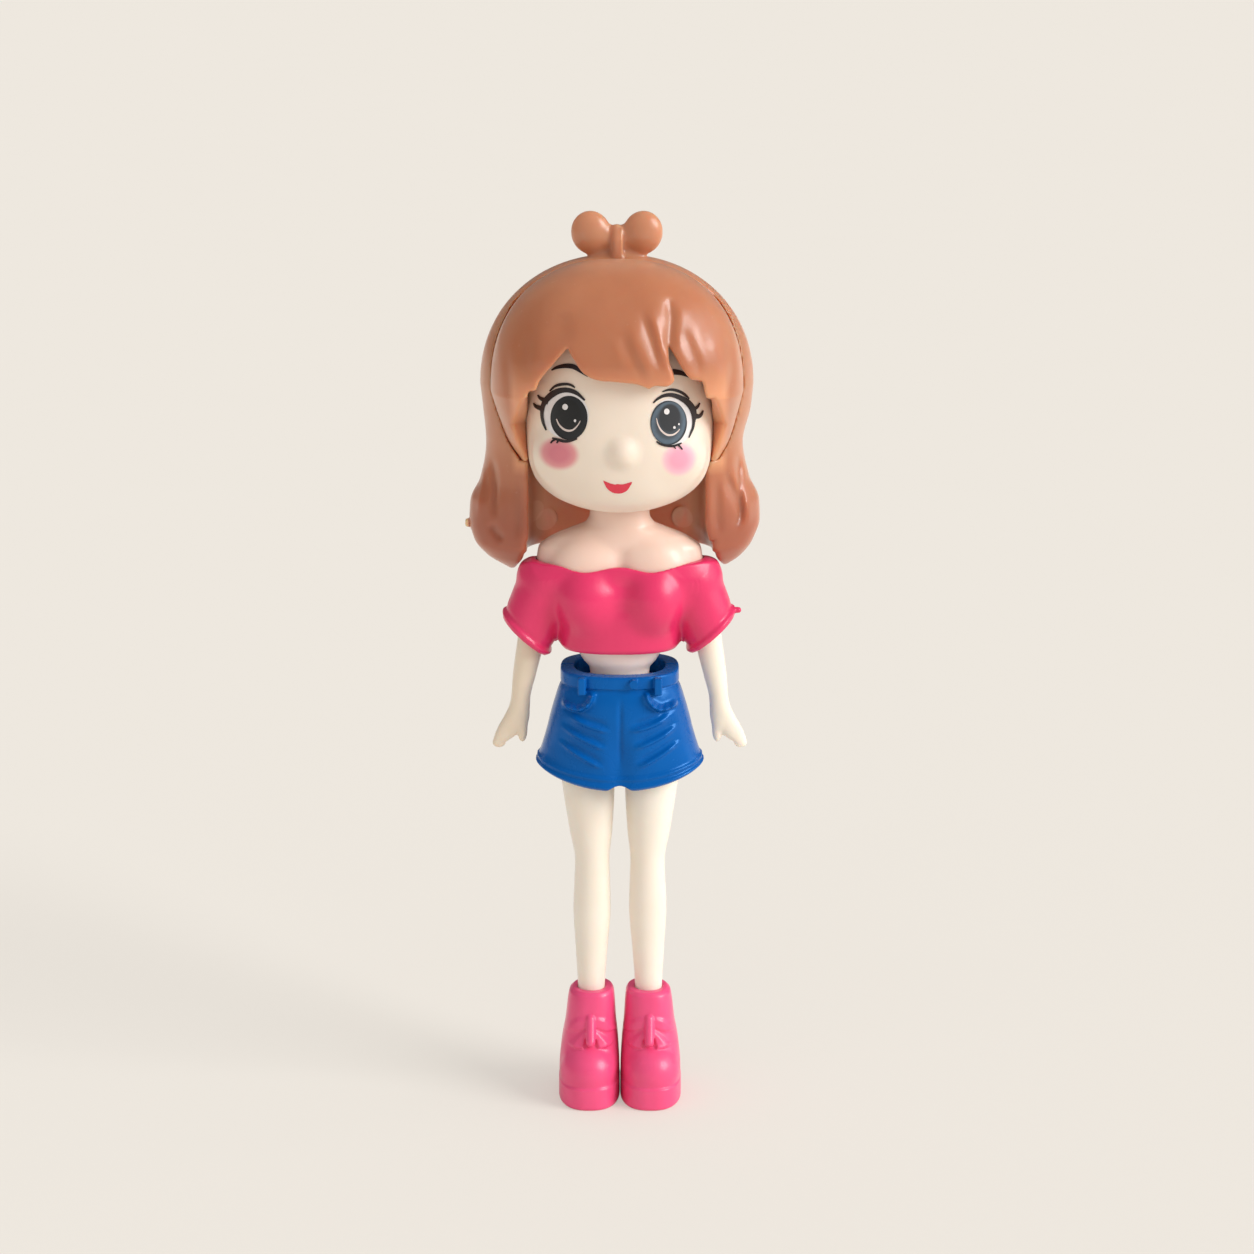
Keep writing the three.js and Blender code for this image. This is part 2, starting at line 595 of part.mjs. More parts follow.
function arm() {
  const wristX = armRoot + armSplay;
  const wristZ = armZ - upperArm;
  const handX = (t) => wristX + handSplay * t;
  const handZ = (t) => wristZ - handLength * t;
  const limb = loft([
    stationOf(handZ(1), handX(1), wristHalf - 0.5, 0.8),
    stationOf(handZ(0.84), handX(0.7), wristHalf + 0.2, 1.0),
    stationOf(handZ(0.66), handX(0.43), wristHalf + 0.6, 1.2),
    stationOf(handZ(0.43), handX(0.19), wristHalf + 0.5, 1.35),
    stationOf(handZ(0.18), handX(0.05), wristHalf + 0.1, 1.5),
    stationOf(wristZ, wristX, wristHalf, 1.6),
    stationOf(wristZ + 3.6, wristX - 0.6, wristHalf + 0.3, 1.95),
    stationOf(armZ - 0.5 * upperArm, wristX - 1.8, upperArmHalf, 2.4),
    stationOf(armZ - 0.2 * upperArm, wristX - 2.6, upperArmHalf, 2.6),
    stationOf(armZ - 1.0, armRoot + 1.7, upperArmHalf - 0.75, armDisc - 0.2),
  ], { rings: 9, sides: 10, power: 2.1, foot: 0.9 });
  const thumb = join(
    ball([wristX - 0.2, -0.1, handZ(0.71)], [0.85, 0.85, 2.2], 6),
    ball([wristX + 0.2, -0.1, handZ(0.53)], [1.2, 1.0, 1.8], 6),
  );
  const disc = bar('x', armDisc, armRoot, armRoot + armDiscWidth, [0, 0, armZ], 16);
  const cap = ball([armRoot + armDiscWidth, 0, armZ], [armCap, armDisc, armDisc], 10);
  const stud = join(
    bar('x', armStud, armRoot - armSocketDepth, armRoot + 1, [0, 0, armZ], 12),
    bar('x', armStudHead, armRoot - armSocketDepth, armRoot - armSocketDepth + studHeadThick, [0, 0, armZ], 10),
  );
  const trimmed = cut(join(limb, disc, cap), block(armRoot - 6, armRoot, -far, far, armZ - 6, far * 2));
  return join(trimmed, thumb, stud);
}

// Leg of the +X side: hip disc and stud, thigh, knee, calf, ankle and a plain peg for the boot
const ankleZ = bootHeight + 0.4;
const legRows = [
  stationOf(bootFloor, 4.9, footHalf, footHalf),
  stationOf(bootHeight * 0.6, 4.9, footHalf + 0.15, footHalf + 0.2),
  stationOf(ankleZ, 4.85, ankleHalf, ankleHalf, ankleHalf + 0.1),
  stationOf(mix(ankleZ, kneeZ, 0.3), 4.78, 2.72, 2.6, 3.0),
  stationOf(mix(ankleZ, kneeZ, 0.62), 4.7, calfHalf, 2.9, 3.6),
  stationOf(kneeZ - 3.6, 4.65, kneeHalf + 0.1, 3.1, 3.2),
  stationOf(kneeZ, 4.65, kneeHalf, 3.3, 3.0),
  stationOf(mix(kneeZ, hipZ, 0.25), 4.85, kneeHalf + 0.7, 3.9, 3.8),
  stationOf(mix(kneeZ, hipZ, 0.57), 5.2, thighHalf - 0.1, 4.6, 4.5),
  stationOf(mix(kneeZ, hipZ, 0.7), 5.65, thighHalf - 0.25, 4.6, 4.5),
  stationOf(mix(kneeZ, hipZ, 0.84), legRoot + 2.75, thighHalf - 1.25, legDisc, legDisc),
  stationOf(hipZ, legRoot + 2.9, 2.9, legDisc - 0.1, legDisc - 0.1),
];
const legPlan = { rings: 11, sides: 12, power: 2.1 };
const hipDiscWidth = 5.6;

function leg() {
  const limb = loft(legRows, legPlan);
  const disc = bar('x', legDisc, legRoot, legRoot + hipDiscWidth, [0, 0, hipZ], 20);
  const stud = join(
    bar('x', hipStud, hipStudHeadX, legRoot + 1, [0, 0, hipZ], 10),
    bar('x', hipStudHead, hipStudHeadX, hipStudHeadX + studHeadThick, [0, 0, hipZ], 10),
  );
  return join(limb, disc, stud);
}

// Top: body and flared sleeves, hollowed for the torso and the arms, with a waved neckline
const topHemZ = bellyZ + topHemRise;
const topRows = [
  [topHemZ, topHemHalf - 0.3, topHemHalf - 0.3, topDepth - 0.7, topDepth - 1.6],
  [topHemZ + 1.4, topHemHalf + 0.4, topHemHalf + 0.4, topDepth - 0.2, topDepth - 1.2],
  [topHemZ + 5.1, topHemHalf + 1.3, topHemHalf + 1.3, topDepth + 0.2, topDepth - 0.9],
  [armZ - 1.9, topWidest - 2.3, topWidest - 2.3, topDepth + 0.4, topDepth - 0.7],
  [shoulderZ - 2.4, topWidest, topWidest, topDepth - 0.2, topDepth - 0.8],
  [shoulderZ, topWidest - 0.9, topWidest - 0.9, topDepth - 0.6, topDepth - 1.0],
  [shoulderZ + topRise + 0.3, topWidest - 1.4, topWidest - 1.4, topDepth - 0.7, topDepth - 1.1],
];

const topPlan = { sides: 18, power: 2.35 };

// Sleeve rings lie square to the sleeve, from the shoulder down and out to the hem
const sleeveSides = 12;

function sleeve(inset = 0) {
  const shoulder = { x: armRoot + 0.8, z: armZ - 1.9, half: sleeveHalf + 0.4, depth: sleeveDepth + 0.6 };
  const hem = { x: armRoot + 3.75, z: armZ - sleeveLength, half: sleeveHalf, depth: sleeveDepth };
  const across = new THREE.Vector3(0.75, 0, 0.66).normalize();
  const outside = [[0, 0], [0.5, 0], [0.84, 0], [0.88, sleeveLip], [0.97, sleeveLip], [1, 0]];
  const inside = [[0, 0], [0.5, 0], [1.3, 0]];
  const rings = (inset > 0 ? inside : outside).map(([t, rim]) => {
    const centre = new THREE.Vector3(mix(shoulder.x, hem.x, t), 0, mix(shoulder.z, hem.z, t));
    const half = mix(shoulder.half, hem.half, Math.min(t, 1)) - inset + rim;
    const depth = mix(shoulder.depth, hem.depth, Math.min(t, 1)) - inset + rim;
    return Array.from({ length: sleeveSides }, (_, i) => {
      const angle = (2 * Math.PI * i) / sleeveSides;
      const point = centre.clone().addScaledVector(across, half * Math.cos(angle));
      point.y -= depth * Math.sin(angle);
      return point;
    });
  });
  return skin(rings);
}

// Everything above the waved neckline
function neckline() {
  const curve = new THREE.SplineCurve([
    [-topWidest - 0.1, shoulderZ - 0.9], [-topWidest + 2.0, shoulderZ + 0.3], [-12.4, shoulderZ + 0.2],
    [-9.4, shoulderZ + 0.1], [-5.6, shoulderZ - 0.7], [0, shoulderZ], [5.0, shoulderZ - 0.7],
    [8.6, shoulderZ], [12.4, shoulderZ + 0.4], [topWidest - 2.0, shoulderZ + 0.4],
    [topWidest + 0.1, shoulderZ - 0.6],
  ].map(([x, z]) => new THREE.Vector2(x, z)));
  const shape = new THREE.Shape(curve.getPoints(22));
  shape.lineTo(topWidest + 0.1, shoulderZ + 6);
  shape.lineTo(-topWidest - 0.1, shoulderZ + 6);
  return prism(shape, -far, far);
}

function topSolid() {
  const body = loft(topRows, topPlan);
  const innerRows = grown(topRows, -topWall);
  innerRows[0][0] -= 1;
  innerRows[innerRows.length - 1][0] += 1;
  const room = loft(innerRows, topPlan);
  const bust = ball([bustX, 2.4 - topDepth, shoulderZ - bustDrop], [4.9, 2.8 + bustRise, 5.8], 12);
  const outer = join(body, sleeve(), mirrored(sleeve()), bust, mirrored(bust));
  const armRoom = sleeve(topWall);
  const torsoRoom = loft(grown(torsoRows, seatGap), torsoPlan);
  const discRoom = bar('x', armDisc + 2 * seatGap, -armRoot - armDiscWidth - 1, armRoot + armDiscWidth + 1,
    [0, 0, armZ], 18);
  return cut(outer, room, armRoom, mirrored(armRoom), discRoom, torsoRoom, neckline());
}

// Shorts: a waistband over a flared seat, hollowed for the pelvis and both legs
const bandTop = bellyZ + bandRise;
const hemZ = hipZ - shortsDrop;
const shortsRows = [
  [hemZ, shortsHemHalf - 0.3, shortsHemHalf - 0.3, shortsHemDepth - 0.2, shortsHemDepth - 0.8],
  [hemZ + 0.7, shortsHemHalf, shortsHemHalf, shortsHemDepth + 0.1, shortsHemDepth - 0.5],
  [hemZ + 1.9, shortsHemHalf, shortsHemHalf, shortsHemDepth + 0.1, shortsHemDepth - 0.5],
  [hemZ + 2.6, shortsHemHalf - 0.4, shortsHemHalf - 0.4, shortsHemDepth - 0.3, shortsHemDepth - 0.9],
  [hemZ + 5.5, shortsHemHalf - 0.9, shortsHemHalf - 0.9, shortsHemDepth - 0.4, shortsHemDepth - 0.9],
  [hipZ + 2.5, bandHalf + 2.5, bandHalf + 2.5, bandDepth + 0.9, bandDepth + 0.4],
  [hipZ + 6.5, bandHalf + 1.5, bandHalf + 1.5, bandDepth + 0.5, bandDepth],
  [bandTop - bandHeight - 1.0, bandHalf + 0.7, bandHalf + 0.7, bandDepth + 0.1, bandDepth - 0.3],
  [bandTop - bandHeight, bandHalf - 0.4, bandHalf - 0.4, bandDepth - 0.4, bandDepth - 0.8],
];
const bandRows = [
  [bandTop - bandHeight, bandHalf, bandHalf, bandDepth, bandDepth - 0.4],
  [bandTop - 0.3, bandHalf, bandHalf, bandDepth, bandDepth - 0.4],
  [bandTop, bandHalf - 0.35, bandHalf - 0.35, bandDepth - 0.35, bandDepth - 0.75],
];
const beltLoops = [[-6.1, -1], [6.7, -1], [-5.0, 1], [5.0, 1]];
const loopWidth = 1.5;
const loopThick = 1.5;
const loopSink = 1.4;
const buttonX = 2.4;
const buttonRadius = 0.85;
const buttonRise = 0.35;

// Front welts of the pockets, and folds across the front of each leg, as X and Z up from the hip
const shortsPlan = { sides: 18, power: 2.3 };
const pocketEdge = [[-4.4, 9.3], [-4.7, 8.0], [-5.5, 7.0], [-7.1, 6.3], [-9.6, 6.9]];
const legFolds = [
  [[1.3, 2.7], [4.9, 3.6], [8.6, 5.0]],
  [[1.8, -0.4], [5.8, 1.2], [9.8, 3.2]],
  [[2.3, -3.7], [6.4, -1.8], [10.2, 0.4]],
];
const centreSeam = [[0, 9.0], [0, 2.2], [0, -4.4]];

function shortsSolid() {
  const seat = loft(shortsRows, shortsPlan);
  const onSeat = (line) => line.map(([x, up]) => onLoft(shortsRows, shortsPlan, x, hipZ + up, -1));
  const pocket = rod(onSeat(pocketEdge), pocketWelt);
  const folds = legFolds.map((line) => rod(onSeat(line), foldDepth, 3, 4));
  const seam = rod(onSeat(centreSeam), foldDepth, 4, 4);
  const band = loft(bandRows, shortsPlan);
  const loops = beltLoops.map(([x, side]) => {
    const middle = side * (bandDepth - loopSink + loopThick / 2);
    return block(x - loopWidth / 2, x + loopWidth / 2, middle - loopThick / 2, middle + loopThick / 2,
      bandTop - bandHeight - 1.0, bandTop - 0.2);
  });
  const button = bar('y', buttonRadius, -bandDepth - buttonRise, -bandDepth + 1,
    [buttonX, 0, bandTop - bandHeight / 2], 10);
  const waistRoom = loft([
    [legTopZ - 1.0, pelvisHalf - 1.0, pelvisHalf - 1.0, pelvisDepth + seatGap, pelvisDepth + seatGap],
    [legTopZ + 1.4, pelvisHalf + seatGap, pelvisHalf + seatGap, pelvisDepth + seatGap, pelvisDepth + seatGap],
    [legTopZ + 3.2, pelvisHalf - 0.4, pelvisHalf - 0.4, pelvisDepth + seatGap, pelvisDepth + seatGap],
    [bandTop - bandHeight, bandHalf - bandLip, bandHalf - bandLip, bandDepth - bandLip, bandDepth - bandLip],
    [bandTop + 1, bandHalf - bandLip, bandHalf - bandLip, bandDepth - bandLip, bandDepth - bandLip],
  ], { rings: 5, sides: 16 });
  const legRoomX = legRoot + 2.85;
  const legRoomHalf = shortsHemHalf - shortsWall - legRoomX;
  const innerRows = grown(shortsRows, -shortsWall);
  innerRows[0][0] -= 2;
  const legRoom = loft(innerRows, shortsPlan).intersect(loft([
    stationOf(hemZ - 1, legRoomX, legRoomHalf, shortsHemDepth - shortsWall, shortsHemDepth - 2.0),
    stationOf(hemZ + 3, legRoomX, legRoomHalf - 0.4, shortsHemDepth - 1.6, shortsHemDepth - 2.4),
    stationOf(hipZ, legRoot + 2.95, 3.35, legDisc + 1.8, legDisc + 1.5),
    stationOf(hipZ + 2.6, legRoot + 2.95, 3.3, legDisc + 1.1, legDisc + 0.9),
  ], { rings: 4, sides: 14, head: legDisc - 1.9 }));
  const discRoom = bar('x', legDisc + 2 * seatGap, -legRoot - hipDiscWidth - seatGap,
    legRoot + hipDiscWidth + seatGap, [0, 0, hipZ], 20);
  const webRoom = block(-webHalf - seatGap - 0.6, webHalf + seatGap + 0.6, -pelvisDepth, pelvisDepth,
    hemZ + crotchStrip, legTopZ + 1);
  const arch = bar('y', crotchArch, -far, far, [0, 0, hemZ + crotchRise - crotchArch], 18);
  const creased = cut(seat, seam, ...folds, ...folds.map(mirrored));
  const outer = join(creased, band, ...loops, button, pocket, mirrored(pocket));
  const cuts = [waistRoom, legRoom, mirrored(legRoom), discRoom, webRoom, arch];
  return cut(outer, ...cuts).warp((point) => {
    const share = Math.max(0, 1 - (point[2] - hemZ) / hemBend);
    point[2] += hemRise * share * (point[0] / shortsHemHalf) ** 2;
  });
}

const bandPegX = bandHalf - bandLip / 2;
const bandPegZ = bandTop - bandHeight / 2;
const bandPeg = 0.5;

function shortsFront() {
  return join(frontOf(shortsSolid(), 0),
    ...[-bandPegX, bandPegX].map((x) => pegAt(x, bandPegZ, bandPeg, 0, pegLength - 0.4)));
}

function shortsBack() {
  return cut(behind(shortsSolid(), 0),
    ...[-bandPegX, bandPegX].map((x) => pegAt(x, bandPegZ, bandPeg + 0.15, 0, pegLength)));
}

// Boot of the +X side: welted sole, round toe, a moulded bow on the instep and a socket for the leg
const bootStation = (z, half, front, back) => stationOf(z, bootCentre - (soleHalf - half) * 0.3, half, front, back);

function boot() {
  const sole = loft([
    bootStation(0, soleHalf - 0.25, toeReach - 0.3, heelReach - 0.3),
    bootStation(0.5, soleHalf, toeReach, heelReach),
    bootStation(soleHeight - 0.4, soleHalf, toeReach, heelReach),
    bootStation(soleHeight, soleHalf - 0.3, toeReach - 0.3, heelReach - 0.3),
  ], { sides: 16, power: 2.5 });
  const upper = loft([
    bootStation(soleHeight - 0.5, soleHalf - 0.3, toeReach - 0.4, heelReach - 0.35),
    bootStation(soleHeight + 3.2, soleHalf - 0.4, toeReach - 0.6, heelReach - 0.4),
    bootStation(soleHeight + 5.5, soleHalf - 0.6, toeReach - 1.9, heelReach - 0.7),
    bootStation(soleHeight + 7.6, soleHalf - 0.8, toeReach - 3.7, heelReach - 1.0),
    bootStation(soleHeight + 9.5, soleHalf - 0.9, toeReach - 4.5, heelReach - 1.4),
    bootStation(bootHeight - 0.7, bootTopHalf, 4.3, 4.3),
    bootStation(bootHeight, bootTopHalf - 0.4, 3.9, 3.9),
  ], { sides: 16, power: 2.4 });
  const tabX = bootCentre - 0.1;
  const tabY = -toeReach + 4.4;
  const tab = ball([tabX, tabY, soleHeight + 8.8], [0.9, 1.0, 2.6], 6);
  const bows = [-1, 1].flatMap((side) => [
    ball([tabX + side * 2.0, tabY + 0.3, soleHeight + 9.9], [1.9, 0.9, 1.0], 6, side * 0.35),
    ball([tabX + side * 1.9, tabY - 0.5, soleHeight + 7.7], [1.8, 0.9, 0.8], 6, side * 0.75),
  ]);
  const socketRows = grown(legRows.slice(0, 3), seatGap);
  socketRows[0][0] -= seatGap;
  socketRows[socketRows.length - 1][0] = bootHeight + 1;
  const socket = loft(socketRows, { rings: 2, sides: 12, power: 2.1 });
  return cut(join(sole, upper, tab, ...bows), socket);
}

// Materials, by the colours of the photograph
const plastic = (colour, roughness) => new THREE.MeshStandardMaterial({ color: colour, roughness, metalness: 0 });
const skinTone = plastic('#f0e1cd', 0.38);
const hairBrown = plastic('#be7d5f', 0.34);
const topPink = plastic('#e13c69', 0.36);
const shortsBlue = plastic('#195faa', 0.36);
const bootPink = plastic('#e64b78', 0.4);
const pinWhite = plastic('#e8e4dc', 0.5);

// Each mesh is placed at its own pivot, and its geometry is drawn about it
function piece(name, body, material, pivot) {
  const mesh = body.simplify(facetSlack).getMesh();
  const geometry = new THREE.BufferGeometry();
  const places = new Float32Array((mesh.vertProperties.length / mesh.numProp) * 3);
  for (let i = 0; i < places.length / 3; i += 1) {
    for (let k = 0; k < 3; k += 1) places[i * 3 + k] = mesh.vertProperties[i * mesh.numProp + k] - pivot[k];
  }
  geometry.setAttribute('position', new THREE.BufferAttribute(places, 3));
  geometry.setIndex(Array.from(mesh.triVerts));
  geometry.computeVertexNormals();
  const result = new THREE.Mesh(geometry, material);
  result.name = name;
  result.position.set(...pivot);
  return result;
}

const neckPivot = [0, 0, plugTop];
const waistPivot = [0, 0, bellyZ];
const hipPivot = (side) => [side * legRoot, 0, hipZ];
const armPivot = (side) => [side * armRoot, 0, armZ];

const doll = new THREE.Group();
doll.name = 'fashion_doll';
doll.add(
  piece('face_shell', faceShell(), skinTone, neckPivot),
  piece('head_back_shell', headBackShell(), skinTone, neckPivot),
  piece('hair_front', hairFront(), hairBrown, neckPivot),
  piece('hair_back', hairBack(), hairBrown, neckPivot),
  piece('neck_pin', pin(neckPinZ, headFloor + runGap), pinWhite, neckPivot),
  piece('torso_front', torsoFront(), skinTone, waistPivot),
  piece('torso_back', torsoBack(), skinTone, waistPivot),
  piece('waist_pin', pin(pelvisPinZ, waistPinZ), pinWhite, waistPivot),
  piece('pelvis_front', pelvisFront(), skinTone, waistPivot),
  piece('pelvis_back', pelvisBack(), skinTone, waistPivot),
  piece('arm_left', arm(), skinTone, armPivot(1)),
  piece('arm_right', mirrored(arm()), skinTone, armPivot(-1)),
  piece('leg_left', leg(), skinTone, hipPivot(1)),
  piece('leg_right', mirrored(leg()), skinTone, hipPivot(-1)),
  piece('top_front', frontOf(topSolid(), 0), topPink, waistPivot),
  piece('top_back', behind(topSolid(), 0), topPink, waistPivot),
  piece('shorts_front', shortsFront(), shortsBlue, waistPivot),
  piece('shorts_back', shortsBack(), shortsBlue, waistPivot),
  piece('boot_left', boot(), bootPink, [bootCentre, 0, 0]),
  piece('boot_right', mirrored(boot()), bootPink, [-bootCentre, 0, 0]),
);

export default doll;
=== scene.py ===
"""Fashion doll of moulded plastic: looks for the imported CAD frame."""

import json
import math

import bpy
import numpy as np
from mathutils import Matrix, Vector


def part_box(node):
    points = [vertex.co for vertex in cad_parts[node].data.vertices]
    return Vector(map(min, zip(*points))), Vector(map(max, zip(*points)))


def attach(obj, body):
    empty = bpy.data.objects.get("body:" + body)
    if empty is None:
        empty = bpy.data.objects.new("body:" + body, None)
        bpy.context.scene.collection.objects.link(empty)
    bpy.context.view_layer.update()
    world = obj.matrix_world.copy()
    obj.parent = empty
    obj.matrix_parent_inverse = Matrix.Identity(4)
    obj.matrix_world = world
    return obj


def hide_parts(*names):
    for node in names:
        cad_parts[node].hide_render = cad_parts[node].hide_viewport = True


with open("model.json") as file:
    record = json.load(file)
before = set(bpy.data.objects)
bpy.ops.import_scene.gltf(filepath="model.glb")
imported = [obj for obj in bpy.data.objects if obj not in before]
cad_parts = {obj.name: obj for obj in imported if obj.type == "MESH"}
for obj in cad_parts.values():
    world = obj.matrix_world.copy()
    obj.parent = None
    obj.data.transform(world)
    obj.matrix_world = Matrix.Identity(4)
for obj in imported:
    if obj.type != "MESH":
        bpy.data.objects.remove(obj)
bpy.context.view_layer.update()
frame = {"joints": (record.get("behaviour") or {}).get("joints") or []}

import openvdb as vdb
from mathutils import Euler, Vector
from mathutils.bvhtree import BVHTree

# Sizes are in millimetres, and meshes are scaled to metres as they are made
MM = 0.001
# Grid steps. The large pieces have coarser ones, so that each stays under 200,000 triangles
FACE_STEP = 0.24
HAIR_STEP = 0.25
LOCK_STEP = 0.31
BODY_STEP = 0.2
SMALL_STEP = 0.16
# Half the gap between the front and rear half of a piece, and the rounding of their edges
HALF_GAP, HALF_EDGE = 0.02, 0.12
# Beyond every piece
FAR = 200.0

JOINTS = {joint["name"]: joint for joint in frame["joints"]}


def low(cad_node):
    """The lowest corner of a CAD node."""
    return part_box(cad_node)[0] / MM


def high(cad_node):
    """The highest corner of a CAD node."""
    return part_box(cad_node)[1] / MM


# Heights of the frame
HIP = JOINTS["left_leg_swing"]["pos_m"][2] / MM
BELLY = JOINTS["waist_turn"]["pos_m"][2] / MM
ARM = JOINTS["left_arm_swing"]["pos_m"][2] / MM
PLUG = JOINTS["head_turn"]["pos_m"][2] / MM
BOOT_TOP = high("boot_left").z
BOW_TOP = high("hair_back").z
CHIN = PLUG - 2.3
SHOULDER = ARM + 3.5
EYE = CHIN + 17.3
CROWN = high("hair_front").z
KNEE = HIP - 21.9
HIP_TOP = HIP + 4.5
# Where the two halves of the head meet, behind the pegs of the front one
SPLIT = high("face_shell").y - 1.4

# Sizes of the shoulder that body, hair and clothes share
ARM_ROOT, ARM_DISC, ARM_DISC_WIDE, ARM_CAP = 11.5, 2.8, 2.4, 0.7
TOP_WALL, SHOULDER_EASE = 1.1, 0.9
TOP_WIDEST = ARM_ROOT + ARM_DISC_WIDE + ARM_CAP + SHOULDER_EASE + TOP_WALL
# Half the width that the rear hair leaves free for the shoulders
TURN_HALF = TOP_WIDEST + 0.6


class Space:
    """A block of space round a piece, sampled on a grid.

    A shape is an array of distances, less than 0 inside.
    """

    def __init__(self, lowest, highest, step):
        self.step = step
        self.origin = np.array(lowest, float) - 3 * step
        count = np.ceil((np.array(highest, float) + 3 * step - self.origin) / step).astype(int) + 1
        lines = [(self.origin[k] + step * np.arange(count[k])).astype(np.float32) for k in range(3)]
        self.x = lines[0][:, None, None]
        self.y = lines[1][None, :, None]
        self.z = lines[2][None, None, :]

    def distance(self, level):
        """Distances to the surface where the level is 1."""
        slopes = np.gradient(level, self.step)
        steepness = np.sqrt(sum(slope * slope for slope in slopes))
        return (level - 1) / np.maximum(steepness, 0.01)

    def loft(self, rows, power=2.2, foot=0.0, head=0.0, grow=0.0, dome=2.0):
        """A body through oval stations [z, left, right, front, back], with flat or domed ends.

        A dome is a quarter ellipse in profile, or fuller with a higher dome power.
        """
        left, right, front, back = stations(rows, self.z, grow)
        wide = np.abs(self.x - (right - left) / 2) / ((left + right) / 2)
        deep = np.abs(self.y - (back - front) / 2) / ((front + back) / 2)
        level = (wide**power + deep**power) ** (1 / power)
        bottom, top = rows[0][0], rows[-1][0]
        if foot:
            level = np.hypot(level, np.maximum(bottom - self.z, 0) / (foot + grow))
        if head:
            level = (level**dome + (np.maximum(self.z - top, 0) / (head + grow)) ** dome) ** (1 / dome)
        body = self.distance(level)
        if not foot:
            body = np.maximum(body, bottom - self.z)
        if not head:
            body = np.maximum(body, self.z - top)
        return body

    def ball(self, centre, radii, turn=(0, 0, 0)):
        """An ellipsoid, turned by angles in degrees."""
        back = np.array(Euler([math.radians(a) for a in turn]).to_matrix()).T
        at = [self.x - centre[0], self.y - centre[1], self.z - centre[2]]
        along = [back[k][0] * at[0] + back[k][1] * at[1] + back[k][2] * at[2] for k in range(3)]
        return self.distance(np.sqrt(sum((along[k] / radii[k]) ** 2 for k in range(3))))

    def bar(self, axis, radius, start, end, centre=(0, 0, 0)):
        """A round bar along an axis, 0 to 2 for X to Z."""
        at = [self.x - centre[0], self.y - centre[1], self.z - centre[2]]
        along = (self.x, self.y, self.z)[axis]
        across = [at[k] for k in range(3) if k != axis]
        return np.maximum(np.maximum(np.hypot(*across) - radius, along - end), start - along)

    def block(self, lowest, highest, rounding=0.0):
        """A box with rounded edges."""
        out = [np.maximum(lowest[k] + rounding - at, at - highest[k] + rounding)
               for k, at in enumerate((self.x, self.y, self.z))]
        outside = np.sqrt(sum(np.maximum(o, 0) ** 2 for o in out))
        inside = np.minimum(np.maximum(np.maximum(out[0], out[1]), out[2]), 0)
        return outside + inside - rounding

    def tube(self, points, radii):
        """A rounded rod through points, its radius changing from one to the next."""
        body = None
        for a, b, ra, rb in zip(points, points[1:], radii, radii[1:]):
            a, b = np.array(a, float), np.array(b, float)
            run = b - a
            at = (self.x - a[0], self.y - a[1], self.z - a[2])
            share = np.clip(sum(at[k] * run[k] for k in range(3)) / (run @ run), 0, 1)
            away = np.sqrt(sum((at[k] - share * run[k]) ** 2 for k in range(3))) - (ra + share * (rb - ra))
            body = away if body is None else np.minimum(body, away)
        return body

    def raised(self, body, rise):
        """The shape with each column of space lifted by its own amount."""
        count = body.shape[2]
        at = np.clip(np.arange(count) - rise / self.step, 0, count - 1.001)
        below = np.floor(at).astype(int)
        share = (at - below).astype(np.float32)
        moved = np.empty_like(body)
        for i in range(body.shape[0]):
            k, f = below[i], share[i]
            moved[i] = body[i][:, k] * (1 - f) + body[i][:, k + 1] * f
        return moved

    def mesh(self, name, body):
        """The surface of a shape as a smooth mesh object in metres."""
        band = 3 * self.step
        grid = vdb.FloatGrid(band)
        grid.copyFromArray(np.ascontiguousarray(np.clip(body, -band, band), dtype=np.float32))
        points, quads = grid.convertToQuads()
        points = (points * self.step + self.origin) * MM
        return mesh_object(name, points, quads[:, ::-1])

    def half_mesh(self, name, body, front):
        """The front or the rear half of a shape as a mesh object."""
        side, word = (1, "front") if front else (-1, "back")
        return self.mesh(f"{name}_{word}_moulding", both(body, side * self.y + HALF_GAP, HALF_EDGE))


def mesh_object(name, points, faces):
    """A mesh object from arrays of points and of faces with equally many corners."""
    faces = np.ascontiguousarray(faces, dtype=np.int32)
    data = bpy.data.meshes.new(name)
    data.vertices.add(len(points))
    data.vertices.foreach_set("co", np.ascontiguousarray(points, dtype=np.float32).ravel())
    data.loops.add(faces.size)
    data.loops.foreach_set("vertex_index", faces.ravel())
    data.polygons.add(len(faces))
    data.polygons.foreach_set("loop_start", np.arange(0, faces.size, faces.shape[1], dtype=np.int32))
    data.update(calc_edges=True)
    data.shade_smooth()
    made = bpy.data.objects.new(name, data)
    bpy.context.scene.collection.objects.link(made)
    return made


def stations(rows, z, grow=0.0):
    """Left, right, front and back at each height, on a smooth curve that never overshoots its stations."""
    rows = np.array(rows, float)
    run = np.diff(rows[:, 0])[:, None]
    steps = np.diff(rows[:, 1:], axis=0) / run
    slopes = np.zeros_like(rows[:, 1:])
    slopes[0], slopes[-1] = steps[0], steps[-1]
    before, after = steps[:-1], steps[1:]
    even = before * after > 0
    slopes[1:-1] = np.where(even, 2 * before * after / np.where(even, before + after, 1), 0)
    at = np.clip(z.ravel(), rows[0, 0], rows[-1, 0])
    i = np.clip(np.searchsorted(rows[:, 0], at) - 1, 0, len(rows) - 2)
    span = run[i]
    t = ((at - rows[i, 0]) / span[:, 0])[:, None]
    value = ((2 * t**3 - 3 * t**2 + 1) * rows[i, 1:] + (t**3 - 2 * t**2 + t) * span * slopes[i]
             + (3 * t**2 - 2 * t**3) * rows[i + 1, 1:] + (t**3 - t**2) * span * slopes[i + 1])
    return [(value[:, k] + grow).astype(np.float32)[None, None, :] for k in range(4)]


